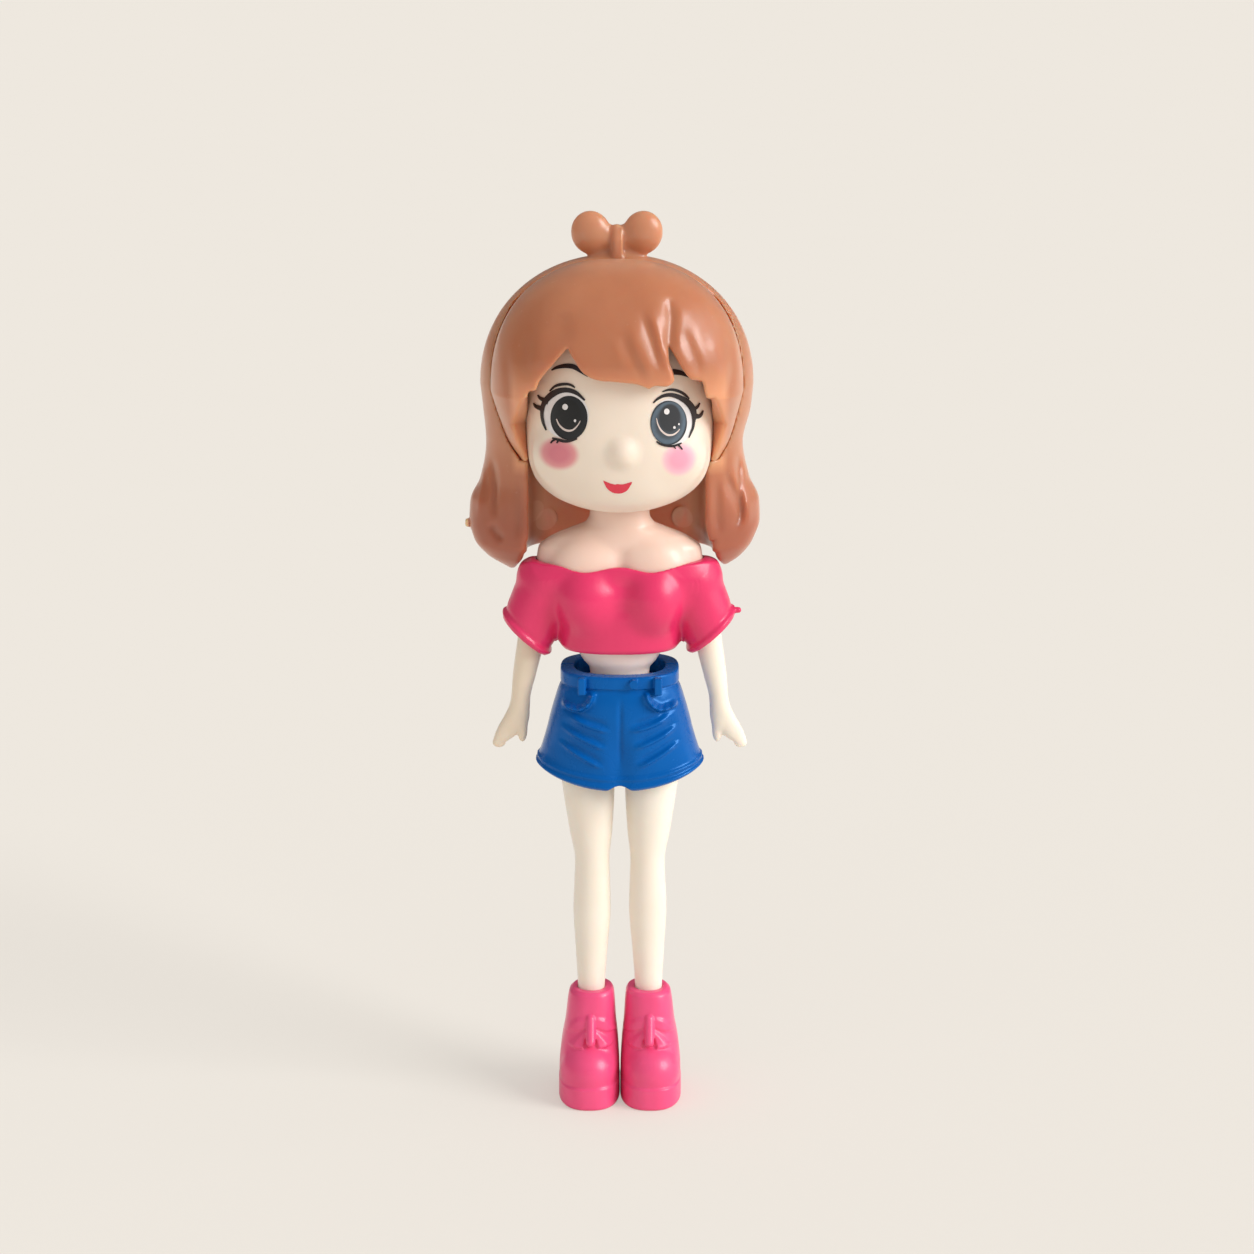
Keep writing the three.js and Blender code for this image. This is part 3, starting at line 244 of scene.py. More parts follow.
def join(a, b, soft=0.0):
    """Both shapes, with a fillet of about that size between them."""
    if not soft:
        return np.minimum(a, b)
    near = np.clip(0.5 + 0.5 * (b - a) / soft, 0, 1)
    return b + (a - b) * near - soft * near * (1 - near)


def cut(a, b, soft=0.0):
    """The first shape without the second, with an edge rounded by about that size."""
    return -join(-a, b, soft)


def both(a, b, soft=0.0):
    """Where the two shapes overlap."""
    return -join(-a, -b, soft)


def smooth(t):
    """An even rise from 0 to 1."""
    t = np.clip(t, 0, 1)
    return t * t * (3 - 2 * t)


def crease(space, points, width, depth, fade=0.3, lumps=0):
    """A rounded groove along a line drawn on X and Z, which fades out over that share at each end.

    A depth less than 0 makes a ridge, and lumps make it uneven.
    """
    lengths = [math.dist(a, b) for a, b in zip(points, points[1:])]
    whole = sum(lengths)
    nearest = share = None
    walked = 0.0
    for a, b, length in zip(points, points[1:], lengths):
        ru, rv = b[0] - a[0], b[1] - a[1]
        t = np.clip(((space.x - a[0]) * ru + (space.z - a[1]) * rv) / length**2, 0, 1)
        away = np.hypot(space.x - a[0] - t * ru, space.z - a[1] - t * rv)
        place = (walked + t * length) / whole
        if nearest is None:
            nearest, share = away, place
        else:
            closer = away < nearest
            nearest, share = np.where(closer, away, nearest), np.where(closer, place, share)
        walked += length
    ends = smooth(share / fade) * smooth((1 - share) / fade) if fade else 1.0
    if lumps:
        ends = ends * (0.75 + 0.25 * np.sin(2 * math.pi * lumps * share))
    return depth * np.exp(-((nearest / width) ** 2)) * ends


def curve(points, count=24):
    """A smooth line through points, as a list of points."""
    at = np.array([points[0], *points, points[-1]], float)
    line = []
    for i in range(1, len(at) - 2):
        a, b, c, d = at[i - 1], at[i], at[i + 1], at[i + 2]
        for t in np.linspace(0, 1, count, endpoint=False):
            line.append(0.5 * (2 * b + (c - a) * t + (2 * a - 5 * b + 4 * c - d) * t**2
                               + (3 * b - 3 * c + d - a) * t**3))
    line.append(at[-1])
    return [tuple(p) for p in line]


def inside_outline(space, outline):
    """Distances to a closed outline drawn on X and Z, less than 0 inside."""
    u, v, away = space.x, space.z, None
    odd = np.zeros(np.broadcast(u, v).shape, bool)
    for a, b in zip(outline, outline[1:] + outline[:1]):
        ru, rv = b[0] - a[0], b[1] - a[1]
        t = np.clip(((u - a[0]) * ru + (v - a[1]) * rv) / max(ru * ru + rv * rv, 1e-9), 0, 1)
        d = np.hypot(u - a[0] - t * ru, v - a[1] - t * rv)
        away = d if away is None else np.minimum(away, d)
        if a[1] != b[1]:
            crosses = (v > min(a[1], b[1])) & (v <= max(a[1], b[1]))
            odd ^= crosses & (u < a[0] + (v - a[1]) * ru / rv)
    return np.where(odd, -away, away)


# Head: the two shells of the face and of the back of the head
HEAD_HALF, FACE_DEPTH, NAPE_DEPTH, HEAD_WALL = 15.0, 14.4, 13.2, 1.4
HEAD_ROWS = [
    [CHIN + 0.3, 4.6, 4.6, 8.4, 3.6],
    [CHIN + 0.8, 7.2, 7.2, 10.2, 5.2],
    [CHIN + 2.3, 10.8, 10.8, 12.0, 7.4],
    [CHIN + 4.0, 12.9, 12.9, 12.9, 9.0],
    [CHIN + 5.6, 14.0, 14.0, 13.4, 10.3],
    [CHIN + 8.3, 14.8, 14.8, 13.9, 11.6],
    [EYE - 5.0, HEAD_HALF + 0.2, HEAD_HALF + 0.2, FACE_DEPTH - 0.1, NAPE_DEPTH - 0.4],
    [EYE, HEAD_HALF + 0.3, HEAD_HALF + 0.3, FACE_DEPTH, NAPE_DEPTH],
    [EYE + 6.0, HEAD_HALF - 0.3, HEAD_HALF - 0.3, FACE_DEPTH - 0.3, NAPE_DEPTH - 0.4],
    [EYE + 11.0, HEAD_HALF - 1.7, HEAD_HALF - 1.7, FACE_DEPTH - 1.8, NAPE_DEPTH - 1.8],
    [CROWN - 8.8, HEAD_HALF - 3.1, HEAD_HALF - 3.1, FACE_DEPTH - 3.2, NAPE_DEPTH - 3.0],
]
CHIN_DOME, HEAD_DOME, NECK_ROOM = 0.3, 6.0, 5.25
HEAD_FLOOR = PLUG + 1.7


def head_solid(space, grow=0.0):
    """The plain shape of the head, larger all round by some room if asked."""
    return space.loft(HEAD_ROWS, 2.3, CHIN_DOME, HEAD_DOME, grow)


def head_shell(space):
    """The hollow head with its nose, and the recess that the neck stands in."""
    body = head_solid(space)
    nose = space.ball((0.5, -FACE_DEPTH + 1.0, EYE - 6.2), (2.0, 1.9, 2.1))
    body = join(body, nose, 1.6)
    for side in (-1, 1):
        cheek = space.ball((side * 8.4, -FACE_DEPTH + 5.7, EYE - 7.8), (5.2, 3.4, 4.6))
        body = join(body, cheek, 2.0)
    hollow = np.maximum(head_solid(space) + HEAD_WALL, HEAD_FLOOR - space.z)
    body = cut(body, hollow)
    return cut(body, space.bar(2, NECK_ROOM, CHIN - 3, PLUG + 0.3), 0.3)


def face():
    """The front half of the head."""
    space = Space((-16.5, -18, CHIN - 0.5), (16.5, SPLIT + 0.5, CROWN), FACE_STEP)
    body = both(head_shell(space), space.y - SPLIT + HALF_GAP, 0.15)
    return space.mesh("face_moulding", body)


def head_back():
    """The rear half of the head."""
    space = Space((-16, SPLIT - 0.5, CHIN - 0.5), (16, 14, CROWN), HAIR_STEP)
    body = both(head_shell(space), SPLIT + HALF_GAP - space.y, 0.15)
    return space.mesh("head_back_moulding", body)


# Hair
HAIR_HALF, HAIR_BACK, FRONT_HALF, FRINGE, LOCK, LOCK_FRONT = 22.3, 17.6, 20.0, 17.2, 23.6, 4.5
LOCK_LOW = CHIN - 11.5
LOCK_GAP, NAPE_HALF, NAPE_WALL = 15.1, 14.6, 2.3
HAIR_SHOULDER = EYE + 2.0
CROWN_DOME = CROWN - HAIR_SHOULDER
HAIR_PLAN = {"power": 2.25, "head": CROWN_DOME, "dome": 2.1}
FRINGE_PLAN = {"power": 2.25, "head": CROWN_DOME, "dome": 2.3}
# Gap at the seam, and the flaps beside the face: how deep they are cut back, from which X, and how steeply
SEAM_GAP, FLAP_DEPTH, WINDOW_HALF, FLAP_SLOPE = 0.01, 3.4, 14.7, 1.7
STRAND_DEPTH = 0.55
HAIR_ROWS = [
    [LOCK_LOW + 0.2, LOCK - 4.9, LOCK - 6.3, 1.5, 10.0],
    [LOCK_LOW + 2.2, LOCK - 1.7, LOCK - 3.5, 3.2, 11.8],
    [LOCK_LOW + 4.8, LOCK + 0.4, LOCK - 1.6, LOCK_FRONT, 13.2],
    [CHIN - 3.4, LOCK + 1.2, LOCK - 0.5, LOCK_FRONT, 14.5],
    [CHIN - 0.4, LOCK + 1.0, LOCK - 0.6, LOCK_FRONT, 15.2],
    [CHIN + 3.6, LOCK - 0.8, LOCK - 2.3, LOCK_FRONT + 0.4, 16.1],
    [CHIN + 9.6, LOCK - 1.7, LOCK - 3.4, LOCK_FRONT + 1.8, HAIR_BACK - 0.8],
    [EYE - 2.0, HAIR_HALF, HAIR_HALF - 0.9, LOCK_FRONT + 3.6, HAIR_BACK - 0.1],
    [HAIR_SHOULDER, HAIR_HALF + 0.4, HAIR_HALF - 0.5, LOCK_FRONT + 4.5, HAIR_BACK],
]
FRINGE_ROWS = [
    [CHIN + 7.6, FRONT_HALF - 3.9, FRONT_HALF - 3.9, 9.0, 9.0],
    [CHIN + 10.9, FRONT_HALF - 1.9, FRONT_HALF - 2.2, 11.0, 10.5],
    [EYE - 2.0, FRONT_HALF - 0.4, FRONT_HALF - 1.0, FRINGE - 3.0, 11.5],
    [HAIR_SHOULDER, FRONT_HALF + 0.7, FRONT_HALF - 0.1, FRINGE, 12.2],
]
# The opening round the face, as X and Z: three smooth runs that meet at sharp notches, closed far below
WINDOW_RUNS = [
    [(-14.6, CHIN + 6.0), (-14.7, EYE - 2.9), (-14.6, EYE + 1.4), (-14.2, EYE + 3.4), (-13.1, EYE + 3.8),
     (-12.4, EYE + 5.4), (-10.5, EYE + 7.8), (-8.1, EYE + 10.6)],
    [(-8.1, EYE + 10.6), (-7.2, EYE + 9.0), (-5.7, EYE + 6.9), (-3.6, EYE + 5.8), (-0.6, EYE + 5.5),
     (2.8, EYE + 5.1), (4.6, EYE + 4.4), (5.5, EYE + 4.8), (7.6, EYE + 4.7), (8.6, EYE + 5.6), (8.3, EYE + 7.0),
     (7.8, EYE + 8.5), (7.7, EYE + 10.8)],
    [(7.7, EYE + 10.8), (8.6, EYE + 9.4), (9.9, EYE + 7.2), (11.2, EYE + 5.6), (12.9, EYE + 5.1),
     (13.4, EYE + 3.4), (13.8, EYE + 1.9), (14.6, EYE + 1.2), (14.8, EYE - 2.9), (14.7, CHIN + 9.0),
     (14.4, CHIN + 6.0)],
]
FACE_WINDOW = [point for run in WINDOW_RUNS for point in curve(run, 6)]
FACE_WINDOW += [(14.4, CHIN - 30), (-14.6, CHIN - 30)]

# Grooves and ridges of the fringe as X and height above the eyes, each with its width and depth
FRINGE_LINES = [
    ([(0.5, 13.6), (1.4, 10.4), (2.9, 7.6), (4.4, 4.6)], 0.8, 0.16),
    ([(3.2, 17.0), (4.6, 13.2), (6.0, 9.4), (7.0, 6.2)], 0.8, 0.26),
    ([(7.4, 18.6), (8.1, 15.4), (7.9, 12.2), (7.8, 9.0)], 0.9, 0.55),
    ([(-1.4, 13.2), (-0.2, 10.0), (1.6, 6.8)], 1.2, -0.12),
    ([(1.5, 15.6), (2.8, 11.6), (4.4, 7.8), (5.6, 5.0)], 1.0, -0.24),
    ([(4.6, 17.4), (5.9, 13.6), (6.7, 10.4), (7.5, 7.4)], 0.8, -0.28),
    ([(9.3, 14.8), (10.6, 11.2), (12.2, 7.8), (13.2, 5.4)], 1.0, 0.12),
    ([(8.8, 12.4), (10.2, 9.4), (11.4, 6.6)], 0.9, -0.1),
    ([(11.2, 15.4), (12.4, 11.6), (13.6, 7.8), (14.2, 4.6)], 1.1, -0.16),
    ([(16.3, 13.4), (17.1, 10.0), (17.8, 6.4), (17.2, 3.2), (15.7, 0.6)], 0.8, 0.24),
    ([(14.6, 13.4), (15.4, 9.4), (15.7, 5.6), (15.0, 2.4)], 1.3, -0.2),
    ([(-14.3, 13.0), (-14.9, 9.0), (-14.6, 4.6)], 1.2, 0.22),
    ([(-17.4, 11.2), (-17.6, 6.6), (-17.0, 1.0), (-16.0, -4.6)], 0.9, 0.16),
    ([(-8.5, 16.6), (-8.9, 13.8), (-8.1, 11.0)], 1.6, 0.2),
    ([(-12.2, 14.6), (-12.5, 10.6), (-12.0, 6.8)], 1.5, -0.15),
]
# Relief of the side locks as X and height above the chin
LOCK_LINES = [
    ([(-20.8, 8.0), (-20.2, 2.5), (-20.6, -2.4)], 0.6, STRAND_DEPTH),
    ([(19.2, 8.6), (19.6, 3.2), (20.2, -2.2)], 0.6, STRAND_DEPTH),
    ([(-21.0, -3.0), (-20.1, -4.8), (-18.7, -5.8)], 0.8, 0.5),
    ([(-16.3, 6.0), (-16.2, -1.0), (-17.0, -6.4)], 0.9, 0.4),
    ([(-21.9, 6.0), (-22.8, 1.0), (-23.2, -3.0)], 0.5, -0.25),
    ([(16.9, 6.4), (19.2, 0.4), (19.7, -2.2), (18.3, -4.4)], 0.7, 0.55),
    ([(18.0, 6.4), (20.4, 0.4), (20.9, -2.4), (19.6, -5.0)], 0.8, -0.4),
    ([(15.9, 5.0), (15.9, -1.0), (16.5, -5.4)], 0.8, 0.4),
]
# Round pads inside the nape as X and height above the chin
HAIR_PADS, PAD_HALF, PAD_FRONT = ((-12.2, -4.4), (-14.3, -2.4), (10.4, -4.2)), 1.8, 8.6
# Gate stub on the lower lock of the -X side, as two corners
HAIR_STUB = (-25.5, 4.3, CHIN - 5.0), (-22.5, 5.7, CHIN - 3.7)
# Places in X of the deep and the fine waves down the back
BACK_MAIN, BACK_FINE = (-13.5, -4.6, 4.4, 13.3), (-17.6, -9.2, -0.2, 8.9, 17.4)


def wave(x):
    """A long wave down the back as X and height above the chin."""
    return [(x * 0.72, 28.0), (x, 17.0), (x * 1.06, 7.0), (x * 0.98, -1.0), (x * 0.86, -8.0)]


def drawn(space, lines, level, mask=1.0):
    """The relief of drawn lines, their heights measured up from a level, each with its width and depth."""
    relief = 0.0
    for points, width, depth in lines:
        line = curve([(x, level + up) for x, up in points], 5)
        relief = relief + crease(space, line, width, depth) * mask
    return relief


def hair_front():
    """The front hair: the fringe and a flap beside each eye, open round the face."""
    space = Space((-22, -18, CHIN + 5.5), (22, SPLIT + 0.5, CROWN), HAIR_STEP)
    body = space.loft(FRINGE_ROWS, **FRINGE_PLAN) + drawn(space, FRINGE_LINES, EYE)
    window = np.maximum(inside_outline(space, FACE_WINDOW), space.y + 1)
    body = cut(body, window, 0.6)
    deeper = np.clip(space.z - EYE + 3.0, 0, 20) * FLAP_SLOPE
    slope = FLAP_DEPTH + deeper + space.y + FLAP_SLOPE * (np.abs(space.x) - WINDOW_HALF)
    beside = np.maximum(WINDOW_HALF - 1.5 - np.abs(space.x), (space.z - EYE - 2.2) * 0.8)
    body = cut(body, np.maximum(slope / 2.2, beside), 0.6)
    body = cut(body, head_solid(space, SEAM_GAP), 0.2)
    body = both(body, space.y - SPLIT + HALF_GAP, 0.06)
    return space.mesh("hair_front_moulding", body)


def bow(space):
    """A bow of two round lobes and a strap, moulded on the crown."""
    made = None
    for x, turn in ((-4.6, -10), (3.75, 10)):
        lobe = space.ball((x, 3.8, BOW_TOP - 3.7), (3.2, 2.0, 3.5), (0, turn, 0))
        made = lobe if made is None else join(made, lobe, 0.3)
    middle = space.ball((-0.4, 4.0, BOW_TOP - 5.0), (3.4, 1.5, 2.5))
    made = join(made, middle, 0.9)
    strap = space.tube([(-0.45, 3.3, BOW_TOP - 3.1), (-0.45, 2.5, BOW_TOP - 4.8), (-0.45, 2.3, CROWN - 1)],
                       [0.85, 0.85, 0.85])
    ridge = space.tube([(0.3, 2.7, BOW_TOP - 3.0), (0.3, 2.0, BOW_TOP - 4.8), (0.3, 1.8, CROWN - 1)],
                       [0.28, 0.28, 0.28])
    made = join(made, join(strap, ridge, 0.12), 0.3)
    return join(made, space.ball((-0.4, 3.8, CROWN - 0.6), (4.8, 1.8, 1.5)), 0.8)


def hair_back():
    """The rear hair: locks, bow and inner pads, hollowed for the head, the front hair and the shoulders."""
    space = Space((-26, -10, LOCK_LOW - 1), (24.5, 18.5, BOW_TOP), LOCK_STEP)
    outer = space.loft(HAIR_ROWS, foot=1.0, **HAIR_PLAN)
    front_mask, back_mask = smooth((7 - space.y) / 3), smooth((space.y - 3) / 3)
    body = outer + drawn(space, LOCK_LINES, CHIN, front_mask)
    body = body + drawn(space, [(wave(x), 0.7, STRAND_DEPTH) for x in BACK_MAIN], CHIN, back_mask)
    body = body + drawn(space, [(wave(x), 0.5, 0.3) for x in BACK_FINE], CHIN, back_mask)
    body = join(body, bow(space), 0.35)
    body = join(body, space.block(*HAIR_STUB, 0.2), 0.2)
    nape = space.loft([
        [LOCK_LOW - 2, LOCK_GAP, LOCK_GAP, 8.0, 8.0],
        [LOCK_LOW + 3, LOCK_GAP, LOCK_GAP, 11.8 - NAPE_WALL, 11.8 - NAPE_WALL],
        [CHIN - 2, LOCK_GAP - 0.3, LOCK_GAP - 1.2, NAPE_HALF - NAPE_WALL, NAPE_HALF - NAPE_WALL],
        [CHIN + 9, LOCK_GAP - 0.3, LOCK_GAP - 1.2, NAPE_HALF - NAPE_WALL, NAPE_HALF - NAPE_WALL],
    ], 2.4)
    throat = join(space.block((-LOCK_GAP, -FAR, LOCK_LOW - 4), (LOCK_GAP, 0.5, CHIN - 6)),
                  space.block((0.3 - LOCK_GAP, -FAR, LOCK_LOW), (LOCK_GAP - 1.2, 0.5, CHIN + 9)), 0.5)
    body = cut(body, join(nape, throat), 1.2)
    for x, up in HAIR_PADS:
        pad = space.bar(1, PAD_HALF, PAD_FRONT, NAPE_HALF, (x, 0, CHIN + up))
        body = join(body, np.maximum(pad, outer), 0.15)
    sides = [[z, left, right, NAPE_DEPTH, NAPE_DEPTH - 0.5] for z, left, right, _, _ in FRINGE_ROWS[1:]]
    side_room = space.loft(sides, 2.25, 0.0, CROWN_DOME - 2.8, 0.3, 2.3)
    body = cut(body, np.maximum(side_room, -space.y))
    lap = [[z, left, right, FAR, FAR] for z, left, right, _, _ in FRINGE_ROWS]
    lap_room = np.maximum(space.loft(lap, grow=SEAM_GAP, **FRINGE_PLAN), space.y - SPLIT)
    body = cut(body, np.maximum(lap_room, FRINGE_ROWS[0][0] - SEAM_GAP - space.z), 0.06)
    body = cut(body, head_solid(space, SEAM_GAP), 0.15)
    turn = TURN_HALF - 1.6 * smooth((space.z - SHOULDER + 2.5) / 3.6)
    wide = np.where(space.y > 0, np.abs(space.x), np.hypot(space.x, space.y))
    body = cut(body, np.maximum((wide - turn) * 0.9, space.z - SHOULDER - 1.1), 0.9)
    return space.mesh("hair_back_moulding", body)


# Body
NECK, SHOULDER_HALF, CHEST = 4.9, 13.4, 6.3
TORSO_ROWS = [
    [BELLY, 4.8, 4.8, 4.3, 4.0],
    [BELLY + 1.6, 5.0, 5.0, 4.5, 4.2],
    [BELLY + 3.1, 6.1, 6.1, 5.0, 4.5],
    [BELLY + 4.8, 7.0, 7.0, 5.3, 4.7],
    [BELLY + 7.6, 7.8, 7.8, 5.8, 5.0],
    [BELLY + 11.4, 9.0, 9.0, CHEST, 5.4],
    [ARM - 1.2, SHOULDER_HALF - 3.0, SHOULDER_HALF - 3.0, CHEST, 5.6],
    [SHOULDER - 1.4, SHOULDER_HALF - 1.1, SHOULDER_HALF - 1.1, CHEST - 0.5, 5.5],
    [SHOULDER, SHOULDER_HALF + 0.2, SHOULDER_HALF + 0.2, CHEST - 0.8, 5.3],
    [SHOULDER + 2.1, SHOULDER_HALF - 0.1, SHOULDER_HALF - 0.1, 5.0, 5.0],
    [SHOULDER + 4.0, SHOULDER_HALF - 2.5, SHOULDER_HALF - 2.5, 4.6, 4.8],
    [SHOULDER + 5.2, NECK + 3.0, NECK + 3.0, 4.4, 4.6],
    [SHOULDER + 6.2, NECK + 0.7, NECK + 0.7, 4.3, 4.4],
    [SHOULDER + 7.6, NECK, NECK, 4.3, 4.3],
    [PLUG, NECK - 0.1, NECK - 0.1, 4.3, 4.3],
]


def torso_solid(space, grow=0.0):
    """The shape of the torso, larger all round by some room if asked."""
    body = space.loft(TORSO_ROWS, 2.15, grow=grow)
    for side in (-1, 1):
        swell = space.ball((side * 5.6, -3.4, SHOULDER - 1.2), (5.4 + grow, 3.0 + grow, 5.2 + grow))
        body = join(body, swell, 1.2)
    valley = [(0.1, SHOULDER + 4.0), (0.1, SHOULDER - 4.0)]
    return body + crease(space, valley, 1.3, 0.35) * (space.y < 0)


def torso(front):
    """A half of the torso, with a seat and a bore for each arm."""
    depths = (-8, 0.5) if front else (-0.5, 6.5)
    space = Space((-14, depths[0], BELLY), (14, depths[1], PLUG), BODY_STEP)
    body = torso_solid(space)
    for arm_side in (-1, 1):
        seat = np.maximum(ARM_ROOT - 0.3 - arm_side * space.x, space.z - ARM - ARM_DISC - 0.35)
        body = cut(body, seat, 0.2)
        body = cut(body, space.bar(0, 1.6, *sorted((arm_side * 7.0, arm_side * 20)), (0, 0, ARM)))
    return space.half_mesh("torso", body, front)


def pelvis(front):
    """A half of the pelvis: a bowl over a narrow web with the bore of the hip studs."""
    depths = (-6, 0.5) if front else (-0.5, 6)
    top = BELLY - 0.35
    space = Space((-9.5, depths[0], HIP - 5.2), (9.5, depths[1], top), BODY_STEP)
    body = space.loft([
        [HIP_TOP + 0.4, 7.5, 7.5, 4.8, 4.8],
        [HIP_TOP + 1.4, 8.8, 8.8, 5.3, 5.2],
        [HIP_TOP + 3.2, 8.0, 8.0, 5.3, 5.1],
        [top, 6.6, 6.6, 4.8, 4.8],
    ])
    web = space.loft([
        [HIP - 4.8, 1.5, 1.5, 3.0, 3.0],
        [HIP - 3.2, 2.9, 2.9, 4.2, 4.2],
        [HIP, 3.4, 3.4, 5.0, 5.0],
        [HIP_TOP + 1.5, 3.4, 3.4, 5.0, 5.0],
    ], 3)
    body = join(body, web, 0.3)
    body = cut(body, space.bar(0, 1.9, -FAR, FAR, (0, 0, HIP)))
    return space.half_mesh("pelvis", body, front)


def pin(cad_node):
    """A pin with a flat head at each end."""
    low_z, high_z = low(cad_node).z, high(cad_node).z
    space = Space((-3.2, -3.2, low_z), (3.2, 3.2, high_z), SMALL_STEP)
    body = join(space.bar(2, 3.0, low_z, low_z + 1.2), space.bar(2, 3.0, high_z - 1.2, high_z))
    body = join(body, space.bar(2, 1.7, low_z, high_z), 0.2)
    return space.mesh(cad_node + "_moulding", body)


# Limbs are drawn on the +X side, and mirrored for the other side
def limb_row(z, centre, half, front, back=None):
    """An oval station with its middle off the middle plane, as deep behind as in front unless given."""
    return [z, half - centre, half + centre, front, front if back is None else back]


WRIST = ARM - 19.9


def arm(side):
    """An arm with its shoulder disc and stud, and a mitten hand with a thumb."""
    space = Space((7, -3.2, WRIST - 9.2), (22.5, 3.2, ARM + 3.2), SMALL_STEP)
    limb = space.loft([
        limb_row(WRIST - 7.9, 20.1, 1.1, 0.8),
        limb_row(WRIST - 6.6, 19.0, 1.8, 1.0),
        limb_row(WRIST - 5.2, 18.0, 2.2, 1.2),
        limb_row(WRIST - 3.4, 17.1, 2.1, 1.35),
        limb_row(WRIST - 1.4, 16.6, 1.7, 1.5),
        limb_row(WRIST, 16.4, 1.6, 1.6),
        limb_row(WRIST + 3.6, 15.8, 1.9, 1.95),
        limb_row(ARM - 9.9, 14.6, 2.25, 2.4),
        limb_row(ARM - 4.0, 13.8, 2.25, 2.6),
        limb_row(ARM - 1.0, ARM_ROOT + 1.7, 1.5, ARM_DISC - 0.2),
    ], 2.1, 0.9)
    thumb = join(space.ball((16.2, -0.1, WRIST - 5.6), (0.85, 0.85, 2.2)),
                 space.ball((16.6, -0.1, WRIST - 4.2), (1.2, 1.0, 1.8)), 0.5)
    disc = space.bar(0, ARM_DISC, ARM_ROOT, ARM_ROOT + ARM_DISC_WIDE, (0, 0, ARM))
    cap = space.ball((ARM_ROOT + ARM_DISC_WIDE, 0, ARM), (ARM_CAP, ARM_DISC, ARM_DISC))
    body = join(join(limb, disc, 0.4), cap)
    body = cut(body, space.block((5, -FAR, ARM - 6), (ARM_ROOT, FAR, ARM + 20)))
    stud = join(space.bar(0, 1.3, ARM_ROOT - 4, ARM_ROOT + 1, (0, 0, ARM)),
                space.bar(0, 2.0, ARM_ROOT - 4, ARM_ROOT - 3, (0, 0, ARM)))
    body = join(join(body, thumb, 0.5), stud)
    return sided(space.mesh("arm_moulding_" + SIDE_NAMES[side], body), side)


LEG_ROOT, HIP_DISC, HIP_DISC_WIDE, ANKLE = 3.8, 4.5, 5.6, BOOT_TOP + 0.4
LEG_ROWS = [
    limb_row(5.0, 4.9, 1.95, 1.95),
    limb_row(BOOT_TOP * 0.6, 4.9, 2.1, 2.15),
    limb_row(ANKLE, 4.85, 2.3, 2.3, 2.4),
    limb_row(ANKLE + 6.66, 4.78, 2.72, 2.6, 3.0),
    limb_row(ANKLE + 13.76, 4.7, 3.15, 2.9, 3.6),
    limb_row(KNEE - 3.6, 4.65, 3.0, 3.1, 3.2),
    limb_row(KNEE, 4.65, 2.9, 3.3, 3.0),
    limb_row(KNEE + 5.48, 4.85, 3.6, 3.9, 3.8),
    limb_row(KNEE + 12.48, 5.2, 4.3, 4.6, 4.5),
    limb_row(KNEE + 15.33, 5.65, 4.15, 4.6, 4.5),
    limb_row(KNEE + 18.4, LEG_ROOT + 2.75, 3.15, HIP_DISC, HIP_DISC),
    limb_row(HIP, LEG_ROOT + 2.9, 2.9, HIP_DISC - 0.1, HIP_DISC - 0.1),
]
SIDE_NAMES = {1: "left", -1: "right"}


def sided(piece, side):
    """The piece, mirrored to the -X side if asked."""
    if side < 0:
        points = np.empty(len(piece.data.vertices) * 3, np.float32)
        piece.data.vertices.foreach_get("co", points)
        points[0::3] *= -1
        piece.data.vertices.foreach_set("co", points)
        piece.data.flip_normals()
        piece.data.update()
    return piece


def leg(side):
    """A leg with its hip disc and stud, and a plain peg for the boot."""
    space = Space((0.2, -5, 4.8), (10.2, 5, HIP + 5), BODY_STEP)
    limb = space.loft(LEG_ROWS, 2.1)
    disc = space.bar(0, HIP_DISC, LEG_ROOT, LEG_ROOT + HIP_DISC_WIDE, (0, 0, HIP))
    stud = join(space.bar(0, 1.6, 0.4, LEG_ROOT + 1, (0, 0, HIP)), space.bar(0, 2.4, 0.4, 1.4, (0, 0, HIP)))
    return sided(space.mesh("leg_moulding_" + SIDE_NAMES[side], join(join(limb, disc, 0.4), stud)), side)


# Clothes
# Half width and half depth of a sleeve at its root and at its hem, and where its tube and its room begin
SLEEVE_ROOT_HALF, SLEEVE_HALF, SLEEVE_ROOT_DEPTH, SLEEVE_DEPTH = 5.3, 4.9, 6.0, 5.6
SLEEVE_FROM, SLEEVE_ROOM_FROM = 0.12, 0.17
# Gate stub on the hem of the +X sleeve, as its two ends
TOP_STUB = [(18.2, -1.0, ARM - 4.9), (19.5, -1.0, ARM - 4.9)]
HEM = BELLY + 5.3
TOP_SHOULDER, TOP_DEPTH = 15.7, 7.5
TOP_ROWS = [
    [HEM, 9.3, 9.3, TOP_DEPTH - 0.7, TOP_DEPTH - 1.6],
    [HEM + 1.4, 10.0, 10.0, TOP_DEPTH - 0.2, TOP_DEPTH - 1.2],
    [HEM + 5.1, 10.9, 10.9, TOP_DEPTH + 0.2, TOP_DEPTH - 0.9],
    [ARM - 1.9, TOP_SHOULDER - 1.4, TOP_SHOULDER - 1.4, TOP_DEPTH + 0.4, TOP_DEPTH - 0.7],
    [SHOULDER - 2.4, TOP_SHOULDER + 0.9, TOP_SHOULDER + 0.9, TOP_DEPTH - 0.2, TOP_DEPTH - 0.8],
    [SHOULDER, TOP_SHOULDER, TOP_SHOULDER, TOP_DEPTH - 0.6, TOP_DEPTH - 1.0],
    [SHOULDER + 1.4, TOP_SHOULDER - 0.5, TOP_SHOULDER - 0.5, TOP_DEPTH - 0.7, TOP_DEPTH - 1.1],
]
